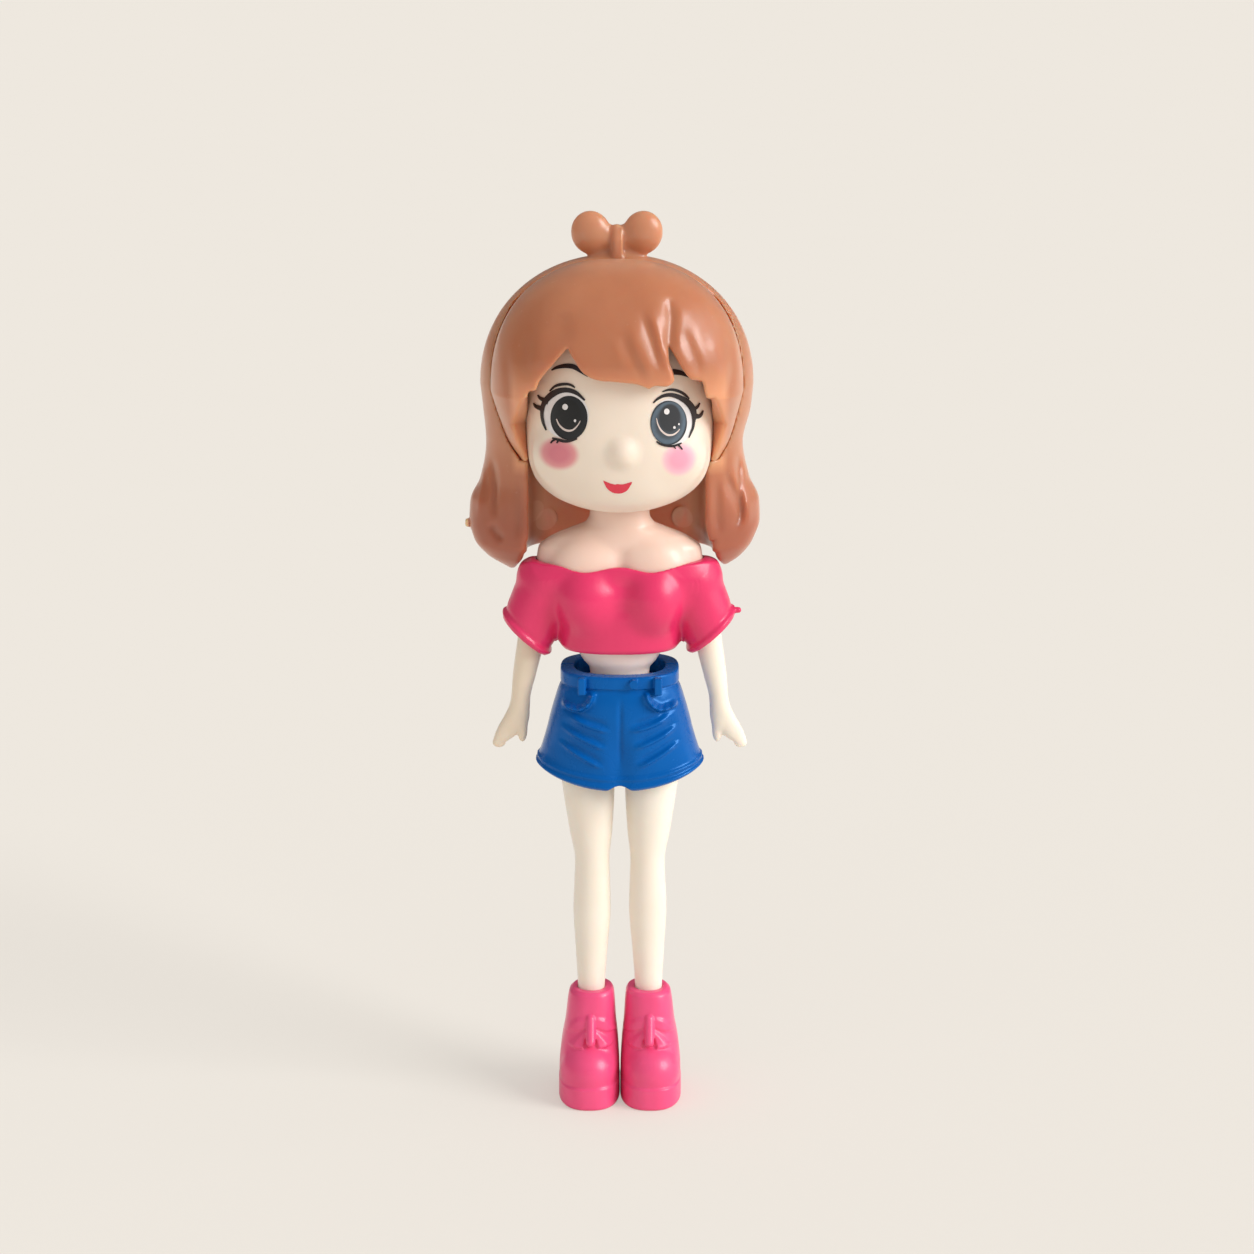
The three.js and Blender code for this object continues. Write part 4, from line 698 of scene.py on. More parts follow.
NECKLINE = curve([(x, SHOULDER + up) for x, up in [
    (-TOP_WIDEST - 0.1, -0.9), (-TOP_WIDEST + 2.0, 0.3), (-12.4, 0.2), (-9.4, 0.1), (-5.6, -0.7), (0, 0),
    (5.0, -0.7), (8.6, 0), (12.4, 0.4), (TOP_WIDEST - 2.0, 0.4), (TOP_WIDEST + 0.1, -0.6)]], 8)
# The dip between body and sleeve, as X and depth below the shoulder
ARMPIT = ((10.9, 14.6), (10.6, 9.6), (11.2, 4.6), (12.2, 1.6))


def sleeve(space, side, inset=0.0):
    """A sleeve tube down and out: its shape, the distance past its hem and the share along it."""
    top, end = np.array([12.3, ARM - 1.9]), np.array([15.25, ARM - 8.85])
    if side < 0:
        end = end + (0.3, -0.4)
    run = end - top
    x = side * space.x
    across_way = np.array([0.75, 0.66]) / math.hypot(0.75, 0.66)
    skew = run[0] * across_way[1] - run[1] * across_way[0]
    across = ((x - top[0]) * -run[1] + (space.z - top[1]) * run[0]) / -skew
    t = ((x - top[0]) * across_way[1] - (space.z - top[1]) * across_way[0]) / skew
    half = SLEEVE_ROOT_HALF + (SLEEVE_HALF - SLEEVE_ROOT_HALF) * np.clip(t, 0, 1) - inset
    depth = SLEEVE_ROOT_DEPTH + (SLEEVE_DEPTH - SLEEVE_ROOT_DEPTH) * np.clip(t, 0, 1) - inset
    power = 2.8 if inset else 2.2
    tube = space.distance((np.abs(across / half) ** power + np.abs(space.y / depth) ** power) ** (1 / power))
    return tube, (t - 1) * np.linalg.norm(run), t


def top_solid(space):
    """The top: body, bust and sleeves, hollowed for the torso and the arms, under a waved neckline."""
    body = space.loft(TOP_ROWS, 2.35)
    inner = [[z, *(v - TOP_WALL for v in row)] for z, *row in TOP_ROWS]
    inner[0][0] = HEM - 1
    mouth = [13.6, 13.6, *inner[-1][3:]]
    room = space.loft([*inner[:-2], [SHOULDER - 0.8, *inner[-2][1:]], [SHOULDER - 0.2, *mouth],
                       [SHOULDER + 2.4, *mouth]], 2.35)
    for side in (-1, 1):
        bust = space.ball((side * 5.4, 2.4 - TOP_DEPTH, SHOULDER - 5.8), (4.7, 4.2, 5.5))
        body = join(body, bust, 1.6)
    valley = [(0.8, SHOULDER - 1.0), (0.8, SHOULDER - 9.0)]
    body = body + crease(space, valley, 2.0, 0.45) * (space.y < 0)
    reach = ARM_ROOT + ARM_DISC_WIDE
    for side in (-1, 1):
        tube, past, t = sleeve(space, side)
        rim = np.exp(-(((past + 0.7) / 0.45) ** 2)) * 0.38 - np.exp(-(((past + 1.6) / 0.4) ** 2)) * 0.1
        tube = np.maximum(np.maximum(tube - rim, past), -t - SLEEVE_FROM)
        body = join(body, tube, 1.3)
        armpit = [(side * x, SHOULDER - down) for x, down in ARMPIT]
        body = body + crease(space, armpit, 2.0, 0.15)
        inner, past, t = sleeve(space, side, TOP_WALL)
        room = join(room, np.maximum(inner, SLEEVE_ROOM_FROM - t))
        room = join(room, space.ball((side * reach, 0, ARM), (1.1, ARM_DISC + 0.5, ARM_DISC + 0.5)))
    lip = np.exp(-(((space.z - HEM - 0.55) / 0.5) ** 2)) * 0.16
    body = body - lip * (np.abs(space.x) < 10.6)
    neck = np.interp(space.x.ravel(), [p[0] for p in NECKLINE], [p[1] for p in NECKLINE]).astype(np.float32)
    body = cut(body, room, 0.3)
    body = cut(body, space.bar(0, ARM_DISC + 0.6, -reach, reach, (0, 0, ARM)))
    body = cut(body, torso_solid(space, 0.15))
    body = join(body, space.tube(TOP_STUB, [0.55, 0.5]), 0.2)
    dip = 0.7 * smooth(space.y / 4)
    return both(body, (space.z - neck[:, None, None] + dip) * 0.95, 0.35)


def top(front):
    """A half of the top."""
    depths = (-9, 0.3) if front else (-0.3, 8)
    space = Space((-20.5, depths[0], HEM - 0.5), (20.5, depths[1], SHOULDER + 2), BODY_STEP)
    return space.half_mesh("top", top_solid(space), front)


# Shorts: the heights of waistband and hem, the band's sizes, and how the hem rises towards the sides
BAND_TOP, SHORTS_HEM = BELLY + 1.6, HIP - 7.3
BAND_HALF, BAND_DEPTH, BAND_HIGH, BAND_LIP, BAND_LIFT = 9.8, 7.5, 2.1, 2.3, 0.8
HEM_RISE, HEM_BEND, SHORTS_WALL = 2.9, 9.0, 1.2
SHORTS_ROWS = [
    [SHORTS_HEM, 13.5, 13.5, 8.8, 8.2],
    [SHORTS_HEM + 0.7, 13.8, 13.8, 9.1, 8.5],
    [SHORTS_HEM + 1.9, 13.8, 13.8, 9.1, 8.5],
    [SHORTS_HEM + 2.6, 13.4, 13.4, 8.7, 8.1],
    [SHORTS_HEM + 5.5, 12.7, 12.7, 8.6, 8.1],
    [HIP + 2.5, 11.8, 11.8, 8.4, 7.9],
    [HIP + 6.5, 10.7, 10.7, 8.0, 7.5],
    [BAND_TOP - BAND_HIGH - 1.0, 10.0, 10.0, 7.6, 7.2],
    [BAND_TOP - BAND_HIGH, 9.4, 9.4, 7.1, 6.7],
]
BAND_ROWS = [
    [BAND_TOP - BAND_HIGH, BAND_HALF, BAND_HALF, BAND_DEPTH, BAND_DEPTH - 0.4],
    [BAND_TOP + BAND_LIFT, BAND_HALF, BAND_HALF, BAND_DEPTH, BAND_DEPTH - 0.4],
]
# Pocket edge and folds of one leg as X and height above the hips
POCKET = [(4.4, 9.3), (4.7, 8.0), (5.5, 7.0), (7.1, 6.3), (9.6, 6.9)]
LEG_FOLDS = [[(1.3, 2.7), (4.9, 3.6), (8.6, 5.0)], [(1.8, -0.4), (5.8, 1.2), (9.8, 3.2)],
             [(2.3, -3.7), (6.4, -1.8), (10.2, 0.4)]]


def shorts_relief(space):
    """Pockets, folds and seams as distances to add to the shape of the shorts."""
    front, relief = smooth((1 - space.y) / 2), 0.0
    for side in (-1, 1):
        pocket = curve([(side * x, HIP + up) for x, up in POCKET], 6)
        stitches = [(x, z - 0.75) for x, z in pocket]
        relief = relief + crease(space, pocket, 0.42, -0.75, 0.08) * front
        beads = crease(space, pocket, 0.5, -0.5, 0.08, 6)
        relief = relief + beads * front
        relief = relief + crease(space, stitches, 0.35, 0.2, 0.15) * front
        for fold in LEG_FOLDS:
            line = curve([(side * x, HIP + up) for x, up in fold], 5)
            relief = relief + crease(space, line, 0.42, -0.5)
            relief = relief + crease(space, [(x, z + 0.95) for x, z in line], 0.6, 0.3)
    seam = [(0.1, HIP + 9.0), (0.1, HIP + 2.2), (0.1, HIP - 4.4)]
    relief = relief + crease(space, seam, 0.4, 0.3, 0.3)
    crotch = [(0.1, HIP + 5.0), (0.1, SHORTS_HEM - 2.5)]
    relief = relief + crease(space, crotch, 1.8, 0.7, 0.45)
    bead = np.exp(-(((space.z - SHORTS_HEM - 0.5) / 0.4) ** 2)) * 0.25
    above = np.exp(-(((space.z - SHORTS_HEM - 1.4) / 0.35) ** 2)) * 0.2
    return relief - bead + above


def shorts_solid(space):
    """The shorts: seat, band, loops and button, hollowed for the pelvis and the legs."""
    trouser = space.loft(SHORTS_ROWS, 2.3)
    inner = space.loft([[SHORTS_HEM - 2, *SHORTS_ROWS[0][1:]], *SHORTS_ROWS[1:]], 2.3, grow=-SHORTS_WALL)
    rim = BAND_TOP + BAND_LIFT * smooth((space.y + 4) / 8)
    band = both(space.loft(BAND_ROWS, 2.3), space.z - rim, 0.5)
    body = join(trouser + shorts_relief(space), band, 0.3)
    for x, side in ((-6.2, -1), (6.3, -1), (-5.0, 1), (5.0, 1)):
        middle = side * (BAND_DEPTH - 0.4)
        loop = space.block((x - 0.65, middle - 0.7, BAND_TOP - BAND_HIGH - 0.9),
                           (x + 0.65, middle + 0.7, BAND_TOP - 0.1), 0.25)
        body = join(body, loop, 0.15)
    button = space.bar(1, 0.8, -BAND_DEPTH - 0.6, -BAND_DEPTH + 1, (2.3, 0, BAND_TOP - BAND_HIGH / 2))
    body = join(body, button, 0.15)
    inner_half, inner_depth = BAND_HALF - BAND_LIP, BAND_DEPTH - BAND_LIP
    waist = space.loft([
        [HIP_TOP - 1.0, 7.8, 7.8, 5.6, 5.6],
        [HIP_TOP + 1.4, 9.1, 9.1, 5.6, 5.6],
        [HIP_TOP + 3.2, 8.4, 8.4, 5.6, 5.6],
        [BAND_TOP - BAND_HIGH, inner_half, inner_half, inner_depth, inner_depth],
        [BAND_TOP + 2, inner_half, inner_half, inner_depth, inner_depth],
    ])
    body = cut(body, waist, 0.3)
    for side in (-1, 1):
        rows = [
            limb_row(SHORTS_HEM - 1, LEG_ROOT + 2.85, 5.95, 7.8, 7.0),
            limb_row(SHORTS_HEM + 3, LEG_ROOT + 2.85, 5.55, 7.4, 6.6),
            limb_row(HIP, 6.75, 3.35, 6.3, 6.0),
            limb_row(HIP + 2.6, 6.75, 3.3, 5.6, 5.4),
        ]
        if side < 0:
            rows = [[z, right, left, front, back] for z, left, right, front, back in rows]
        body = cut(body, both(space.loft(rows, 2.2, 0.0, 2.6), inner), 0.35)
    arch = space.bar(1, 2.4, -FAR, FAR, (0, 0, SHORTS_HEM + 0.85 - 2.4))
    body = cut(body, arch, 0.4)
    reach = LEG_ROOT + HIP_DISC_WIDE + 0.3
    body = cut(body, space.bar(0, HIP_DISC + 0.6, -reach, reach, (0, 0, HIP)))
    web = space.block((-4.3, -5.3, SHORTS_HEM + 1.9), (4.3, 5.3, HIP_TOP + 1))
    body = cut(body, web)
    share = np.maximum(1 - (space.z - SHORTS_HEM) / HEM_BEND, 0)
    rise = HEM_RISE * (space.x / 13.8) ** 2
    return space.raised(body, (rise * share / (1 - rise / HEM_BEND))[:, 0, :])


def shorts(front):
    """A half of the shorts."""
    depths = (-10, 0.3) if front else (-0.3, 9.5)
    highest = (14.2, depths[1], BAND_TOP + BAND_LIFT + 0.2)
    space = Space((-14.2, depths[0], SHORTS_HEM - 0.3), highest, SMALL_STEP)
    return space.half_mesh("shorts", shorts_solid(space), front)


BOOT_X, SOLE_HALF, TOE, HEEL, SOLE_HIGH, BOOT_GAP = 5.3, 5.1, 9.7, 6.8, 4.0, 0.06
# Loops and tails of the bow on one side of its strap as X and height above the sole
BOOT_LOBE = [(0.0, 10.9), (1.2, 10.9), (2.4, 10.5), (3.6, 9.4), (4.3, 8.2), (2.8, 8.5), (1.0, 9.2),
             (0.0, 9.4)]
BOOT_TAIL = [(0.4, 8.8), (1.0, 8.9), (2.2, 7.7), (3.5, 6.3), (2.6, 6.0), (1.3, 6.1)]


def boot_row(z, half, front, back):
    """A station of the boot, whose narrow places lie nearer to the middle plane."""
    return limb_row(z, BOOT_X - 0.08 - (SOLE_HALF - half) * 0.3, half + 0.08, front, back)


def boot(side):
    """A boot with a welted sole, a moulded bow on the instep and a socket for the leg."""
    space = Space((0, -10.5, 0), (10.8, 7.5, BOOT_TOP), SMALL_STEP)
    sole = space.loft([
        boot_row(0, SOLE_HALF - 0.25, TOE - 0.3, HEEL - 0.3),
        boot_row(0.5, SOLE_HALF, TOE, HEEL),
        boot_row(SOLE_HIGH - 0.4, SOLE_HALF, TOE, HEEL),
        boot_row(SOLE_HIGH, SOLE_HALF - 0.3, TOE - 0.3, HEEL - 0.3),
    ], 2.5)
    upper = space.loft([
        boot_row(SOLE_HIGH - 0.5, SOLE_HALF - 0.05, TOE - 0.3, HEEL - 0.1),
        boot_row(SOLE_HIGH + 2.2, SOLE_HALF - 0.1, TOE - 0.7, HEEL - 0.3),
        boot_row(SOLE_HIGH + 4.2, SOLE_HALF - 0.25, TOE - 2.2, HEEL - 0.5),
        boot_row(SOLE_HIGH + 6.2, SOLE_HALF - 0.45, TOE - 3.5, HEEL - 0.8),
        boot_row(SOLE_HIGH + 9.0, SOLE_HALF - 0.85, TOE - 4.4, HEEL - 1.4),
        boot_row(BOOT_TOP - 0.7, 3.7, 4.3, 4.3),
        boot_row(BOOT_TOP, 3.2, 3.8, 3.8),
    ], 2.4)
    toe = space.ball((BOOT_X, -4.7, SOLE_HIGH + 1.7), (4.75, 4.9, 4.6))
    body = join(upper, np.maximum(toe, SOLE_HIGH - space.z), 0.35)
    body = join(body, sole, 0.12)
    tab_x = BOOT_X - 0.35
    for way in (-1, 1):
        for outline, height in ((BOOT_LOBE, 0.3), (BOOT_TAIL, 0.5)):
            placed = [(tab_x + way * x, SOLE_HIGH + up) for x, up in outline]
            shape = inside_outline(space, placed)
            body = body - height * smooth(0.5 - shape / 0.7) * (space.y < 0)
    tab = space.tube([(tab_x, -4.8, SOLE_HIGH + 10.7), (tab_x, -5.6, SOLE_HIGH + 9.0),
                      (tab_x, -6.6, SOLE_HIGH + 7.2)], [0.85, 0.85, 0.8])
    body = join(body, tab, 0.12)
    socket = [[z, *(v + BOOT_GAP for v in row)] for z, *row in LEG_ROWS[:3]]
    socket[0][0] -= 0.3
    socket[-1][0] = BOOT_TOP + 1
    body = cut(body, space.loft(socket, 2.1), 0.25)
    return sided(space.mesh("boot_moulding_" + SIDE_NAMES[side], body), side)


# Printed face, drawn in pixels of the photograph and cast on the face from its camera
PHOTO, FOCAL = 1254, 3005.3
CAMERA_PLACE, CAMERA_PITCH = (0.0012, -0.480, 0.205), math.radians(14.39)
# Each print lies above the one below it by this much, in millimetres
PRINT_LIFT = 0.04
# Ovals of the photograph, each as X, Y, half width and half height
LEFT_WHITE, RIGHT_WHITE = (566.2, 415.4, 22.6, 23.0), (672.1, 421.9, 21.4, 23.6)
LEFT_IRIS, RIGHT_IRIS = (569.2, 417.8, 18.5, 22.0), (668.5, 422.8, 18.2, 22.2)
LEFT_PUPIL, RIGHT_PUPIL = (569.4, 413.4, 12.2, 15.8), (669.6, 417.8, 11.9, 15.8)
LEFT_SPOTS = [(565.5, 406.8, 2.8, 3.0), (575.3, 420.6, 1.2, 1.5)]
RIGHT_SPOTS = [(666.4, 411.4, 2.7, 3.0), (674.0, 427.3, 1.3, 1.4), (678.5, 424.0, 0.9, 1.0)]
# Points of each pale arc and ink line, each as X, Y and width
ARCS = [
    [(556.9, 418.8, 1.0), (559.4, 424.4, 1.5), (563.8, 428.8, 2.0), (568.8, 430.6, 2.1), (573.8, 429.4, 1.6),
     (578.1, 425.0, 1.1), (580.6, 420.6, 0.5)],
    [(656.3, 418.1, 0.7), (657.8, 424.4, 1.3), (661.3, 430.6, 1.7), (666.9, 434.6, 2.0), (672.5, 434.6, 1.8),
     (676.9, 431.9, 1.3), (679.4, 428.8, 0.7)],
]
LINES = [
    [(551.9, 370.2, 1.4), (557.5, 367.4, 3.1), (565.0, 366.0, 4.4), (572.5, 366.4, 5.0), (577.5, 368.8, 4.4),
     (582.5, 372.6, 2.7), (588.0, 376.4, 1.3)],
    [(672.0, 371.6, 5.5), (675.5, 372.0, 5.5), (680.0, 372.8, 4.7), (684.4, 374.6, 3.4), (689.4, 377.4, 1.3)],
    [(546.5, 430.2, 1.6), (543.4, 421.3, 3.0), (542.4, 413.1, 3.4), (543.8, 405.0, 4.7), (547.8, 398.6, 6.0),
     (555.0, 392.8, 6.2), (562.5, 390.2, 5.3), (570.0, 390.4, 4.7), (577.5, 393.5, 3.7), (585.0, 400.2, 1.7)],
    [(549.0, 401.5, 6.4), (543.0, 399.3, 4.1), (540.2, 397.6, 3.0), (538.2, 394.8, 1.4)],
    [(545.0, 409.0, 6.1), (539.6, 407.6, 4.7), (536.2, 406.0, 3.3), (534.0, 403.0, 1.4)],
    [(550.0, 391.2, 1.6), (554.8, 386.6, 2.4), (560.6, 384.6, 3.0), (567.5, 384.1, 2.7), (572.0, 385.4, 2.3),
     (575.2, 387.6, 1.4)],
    [(552.5, 438.0, 1.6), (558.0, 439.5, 2.7), (563.8, 441.0, 3.0), (570.0, 440.8, 2.7), (577.2, 438.3, 2.2)],
    [(556.4, 438.8, 2.4), (553.2, 440.6, 2.1), (550.8, 443.2, 1.3)],
    [(559.6, 439.8, 2.3), (558.0, 441.4, 1.9), (557.0, 443.2, 1.3)],
    [(653.1, 402.9, 1.4), (657.5, 398.8, 2.5), (663.8, 395.6, 3.4), (671.3, 394.9, 4.1), (678.8, 397.2, 5.0),
     (686.3, 401.6, 6.1), (691.3, 407.4, 6.4), (693.5, 413.8, 5.5), (693.4, 421.3, 3.1), (692.5, 427.5, 2.5),
     (690.6, 432.5, 2.2), (688.5, 437.8, 1.3)],
    [(690.0, 408.4, 5.9), (694.6, 408.2, 3.7), (697.4, 406.2, 2.7), (699.2, 402.8, 1.4)],
    [(692.6, 415.4, 6.7), (698.0, 416.2, 4.4), (700.8, 414.2, 3.0), (702.6, 410.2, 1.4)],
    [(662.1, 391.6, 1.4), (668.8, 389.7, 2.4), (675.0, 390.1, 3.0), (681.3, 392.5, 3.0), (685.6, 395.6, 2.5),
     (688.8, 398.8, 1.4)],
    [(656.3, 441.2, 1.4), (660.0, 443.8, 2.1), (666.3, 445.6, 2.3), (672.5, 445.9, 2.3), (676.9, 444.8, 2.2),
     (681.4, 443.0, 1.4)],
    [(672.3, 445.6, 1.9), (674.0, 446.9, 1.6), (675.6, 448.6, 1.0)],
    [(677.4, 444.6, 2.1), (679.9, 446.6, 1.7), (682.2, 449.6, 1.3)],
]
MOUTH = [(603.1, 480.3), (607.5, 482.6), (611.3, 483.6), (615.0, 484.4), (617.5, 484.0), (620.6, 484.3),
         (625.0, 484.0), (631.9, 481.9), (630.0, 486.3), (626.9, 490.6), (622.5, 492.9), (618.1, 493.5),
         (612.5, 492.5), (607.5, 488.8), (605.0, 485.0)]
LEFT_BLUSH, RIGHT_BLUSH = (559.0, 453.7, 21.0, 16.9), (679.1, 459.1, 18.2, 17.6)


def photo_ray(px, py):
    """The way from the camera through a pixel of the photograph."""
    u, v = (px - PHOTO / 2) / FOCAL, (PHOTO / 2 - py) / FOCAL
    flat, steep = math.cos(CAMERA_PITCH), math.sin(CAMERA_PITCH)
    return Vector((u, flat + v * steep, v * flat - steep)).normalized()


def printed(name, points, faces, lift, material):
    """A print on the face from points in photo pixels."""
    placed = []
    for px, py in points:
        way = photo_ray(px, py)
        spot, out, _, _ = FACE_TREE.ray_cast(Vector(CAMERA_PLACE), way)
        placed.append(spot - out * math.copysign(lift * MM, out.dot(way)))
    made = mesh_object(name, np.array(placed), np.array(faces))
    made.data.materials.append(material)
    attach(made, "head")


def filled(outline, rings=8):
    """Points and triangles that fill an outline out from its middle."""
    count = len(outline)
    middle = tuple(sum(p[k] for p in outline) / count for k in (0, 1))
    points = [middle]
    for ring in range(1, rings + 1):
        points += [tuple(middle[k] + (p[k] - middle[k]) * ring / rings for k in (0, 1)) for p in outline]
    faces = [(0, 1 + (i + 1) % count, 1 + i) for i in range(count)]
    for ring in range(rings - 1):
        inner, outer = 1 + ring * count, 1 + (ring + 1) * count
        for i in range(count):
            j = (i + 1) % count
            faces += [(inner + i, inner + j, outer + j), (inner + i, outer + j, outer + i)]
    return points, faces


def oval(x, y, wide, high, count=72):
    """The points of an oval from its middle and half sizes."""
    angles = np.linspace(0, 2 * math.pi, count, False)
    return [(x + wide * math.cos(a), y + high * math.sin(a)) for a in angles]


def strokes(lines):
    """Points and faces of brush strokes whose width changes along them."""
    points, faces = [], []
    for line in lines:
        path = curve(line, 8)
        for i, (x, y, wide) in enumerate(path):
            ahead, behind = path[min(i + 1, len(path) - 1)], path[max(i - 1, 0)]
            along = np.array(ahead[:2]) - np.array(behind[:2])
            across = np.array([-along[1], along[0]]) / max(np.hypot(*along), 1e-6) * wide / 2
            points += [(x - across[0], y - across[1]), (x + across[0], y + across[1])]
            if i:
                first = len(points) - 4
                faces.append((first, first + 1, first + 3, first + 2))
    return points, faces


# Materials
def linear(*rgb):
    """A colour of 0 to 255 on the screen as linear light."""
    shares = [c / 255 for c in rgb]
    return tuple(c / 12.92 if c <= 0.04045 else ((c + 0.055) / 1.055) ** 2.4 for c in shares)


def node(tree, kind, values, output, **settings):
    """An output of a new node, with its settings made and its inputs set, or linked where they are sockets."""
    made = tree.nodes.new("ShaderNode" + kind)
    for name, value in settings.items():
        setattr(made, name, value)
    for name, value in values.items():
        if isinstance(value, bpy.types.NodeSocket):
            tree.links.new(value, made.inputs[name])
        else:
            made.inputs[name].default_value = value
    return made.outputs[output]


class Look:
    """A plastic material whose colour is built up in layers."""

    def __init__(self, name, roughness, coat=0.0, glow=0.0, glow_reach=(1, 0.5, 0.35), shine=0.5,
                 tint=(1, 1, 1)):
        self.made = bpy.data.materials.new(name)
        self.made.use_nodes = True
        self.tree = self.made.node_tree
        self.shader = self.tree.nodes["Principled BSDF"]
        self.place = self.node("TexCoord", {}, "Object")
        self.colour = None
        gloss = self.ranged(self.noise(3.0, 4), 0.3, 0.7, roughness - 0.05, roughness + 0.07)
        self.tree.links.new(gloss, self.shader.inputs["Roughness"])
        values = {"Specular IOR Level": shine, "Specular Tint": (*tint, 1), "Coat Weight": coat,
                  "Coat Roughness": 0.15}
        if glow:
            values.update({"Subsurface Weight": glow, "Subsurface Radius": glow_reach,
                           "Subsurface Scale": 1.2 * MM})
        for name, value in values.items():
            self.shader.inputs[name].default_value = value

    def node(self, kind, values, output, **settings):
        """An output of a new node of this material."""
        return node(self.tree, kind, values, output, **settings)

    def noise(self, size, detail=2.0, stretch=(1, 1, 1)):
        """Cloudy noise with lumps of about that size in millimetres."""
        moved = self.node("Mapping", {"Scale": stretch, "Vector": self.place}, "Vector")
        return self.node("TexNoise", {"Scale": 1000 / size, "Detail": detail, "Vector": moved}, "Fac")

    def ranged(self, value, low_in, high_in, low_out, high_out):
        """A value moved from one range of numbers to another, and held at its ends."""
        return self.node("MapRange", {"From Min": low_in, "From Max": high_in, "To Min": low_out,
                                      "To Max": high_out, "Value": value}, "Result")

    def paint(self, share, colour):
        """A layer of colour over those below, as a share from 0 to 1."""
        values = {6: self.colour, 7: (*colour, 1), "Factor": share}
        if self.colour is None:
            self.shader.inputs["Base Color"].default_value = (*colour, 1)
            values = {6: (*colour, 1), 7: (*colour, 1)}
        self.colour = self.node("Mix", values, 2, data_type="RGBA")
        self.tree.links.new(self.colour, self.shader.inputs["Base Color"])
        return self

    def grain(self, layers):
        """Fine relief from noises of a size and a height in millimetres."""
        values = {"Strength": 0.6}
        for size, height in layers:
            values.update({"Distance": height * MM, "Height": self.noise(size, 2)})
            values["Normal"] = self.node("Bump", values, "Normal")
        self.tree.links.new(values["Normal"], self.shader.inputs["Normal"])
        return self

    def along(self, axis, none, full, most=1.0):
        """A share that changes between two places on an axis, in millimetres."""
        place = self.node("SeparateXYZ", {"Vector": self.place}, axis)
        return self.ranged(place, none * MM, full * MM, 0, most)

    def wide(self, none, full):
        """A share that changes between two distances from the middle plane, in millimetres."""
        place = self.node("SeparateXYZ", {"Vector": self.place}, "X")
        away = self.node("Math", {0: place}, "Value", operation="ABSOLUTE")
        return self.ranged(away, none * MM, full * MM, 0, 1)

    def times(self, a, b):
        """The product of two shares."""
        return self.node("Math", {0: a, 1: b}, "Value", operation="MULTIPLY")

    def forward(self):
        """A share for the surfaces that face the front of the doll."""
        forward = self.node("SeparateXYZ", {"Vector": self.place.node.outputs["Normal"]}, "Y")
        return self.ranged(forward, 0.0, -0.4, 0, 1)

    def rim(self, none, full, most):
        """A share that rises where the surface turns away from the viewer, for a painted rim highlight."""
        return self.ranged(self.node("LayerWeight", {"Blend": 0.5}, "Facing"), none, full, 0, most)

    def spot(self, centre, radii, soft):
        """A round spot as a share, 1 in the middle, that fades over the outer part given by soft."""
        moved = self.node("Mapping", {
            "Scale": (1 / (radii[0] * MM), 0, 1 / (radii[1] * MM)),
            "Location": (-centre[0] / radii[0], 0, -centre[1] / radii[1]),
            "Vector": self.place,
        }, "Vector")
        away = self.node("TexGradient", {"Vector": moved}, "Fac", gradient_type="SPHERICAL")
        return self.node("MapRange", {"From Max": soft, "Value": away}, "Result",
                         interpolation_type="SMOOTHSTEP")


def plastic(name, colour, deep, roughness, size=9.0, mottle=0.5, grain=((0.8, 0.012),), specks=None, **gloss):
    """Moulded plastic: cloudy pigment, faint flow marks and a moulded grain."""
    made = Look(name, roughness, **gloss)
    made.paint(None, colour)
    made.paint(made.ranged(made.noise(size, 3), 0.3, 0.7, 0, mottle), deep)
    made.paint(made.ranged(made.noise(size * 0.4, 2, (1, 1, 0.25)), 0.45, 0.8, 0, mottle * 0.5), deep)
    if specks:
        made.paint(made.ranged(made.noise(0.9, 1), 0.74, 0.8, 0, 0.4), specks)
    return made.grain(grain)


SKIN_GLOW = {"coat": 0.2, "glow": 0.25, "glow_reach": (1, 0.6, 0.4)}
LEGS = plastic("leg_plastic", linear(244, 234, 219), linear(239, 224, 205), 0.42, 12, **SKIN_GLOW).made
arm_look = plastic("arm_plastic", linear(248, 238, 221), linear(242, 228, 208), 0.42, 12, **SKIN_GLOW)
# Painted shade: the arm on the -X side, away from the key light, is painted darker, and the base colour is
# lightened as painted light for the lit +X arm
arm_look.paint(arm_look.along("X", 5, -5, 0.6), linear(222, 200, 172))
ARMS = arm_look.made
NAPE = plastic("head_plastic", linear(238, 222, 204), linear(232, 212, 190), 0.42, 12, **SKIN_GLOW).made
torso_look = plastic("torso_plastic", linear(240, 210, 193), linear(232, 195, 176), 0.40, 12, **SKIN_GLOW)
# Painted light: the belly is painted lighter than the chest, lifting the shade that the top casts on it
torso_look.paint(torso_look.along("Z", SHOULDER - 8, BELLY + 5, 0.7), linear(252, 234, 226))
BODY = torso_look.made


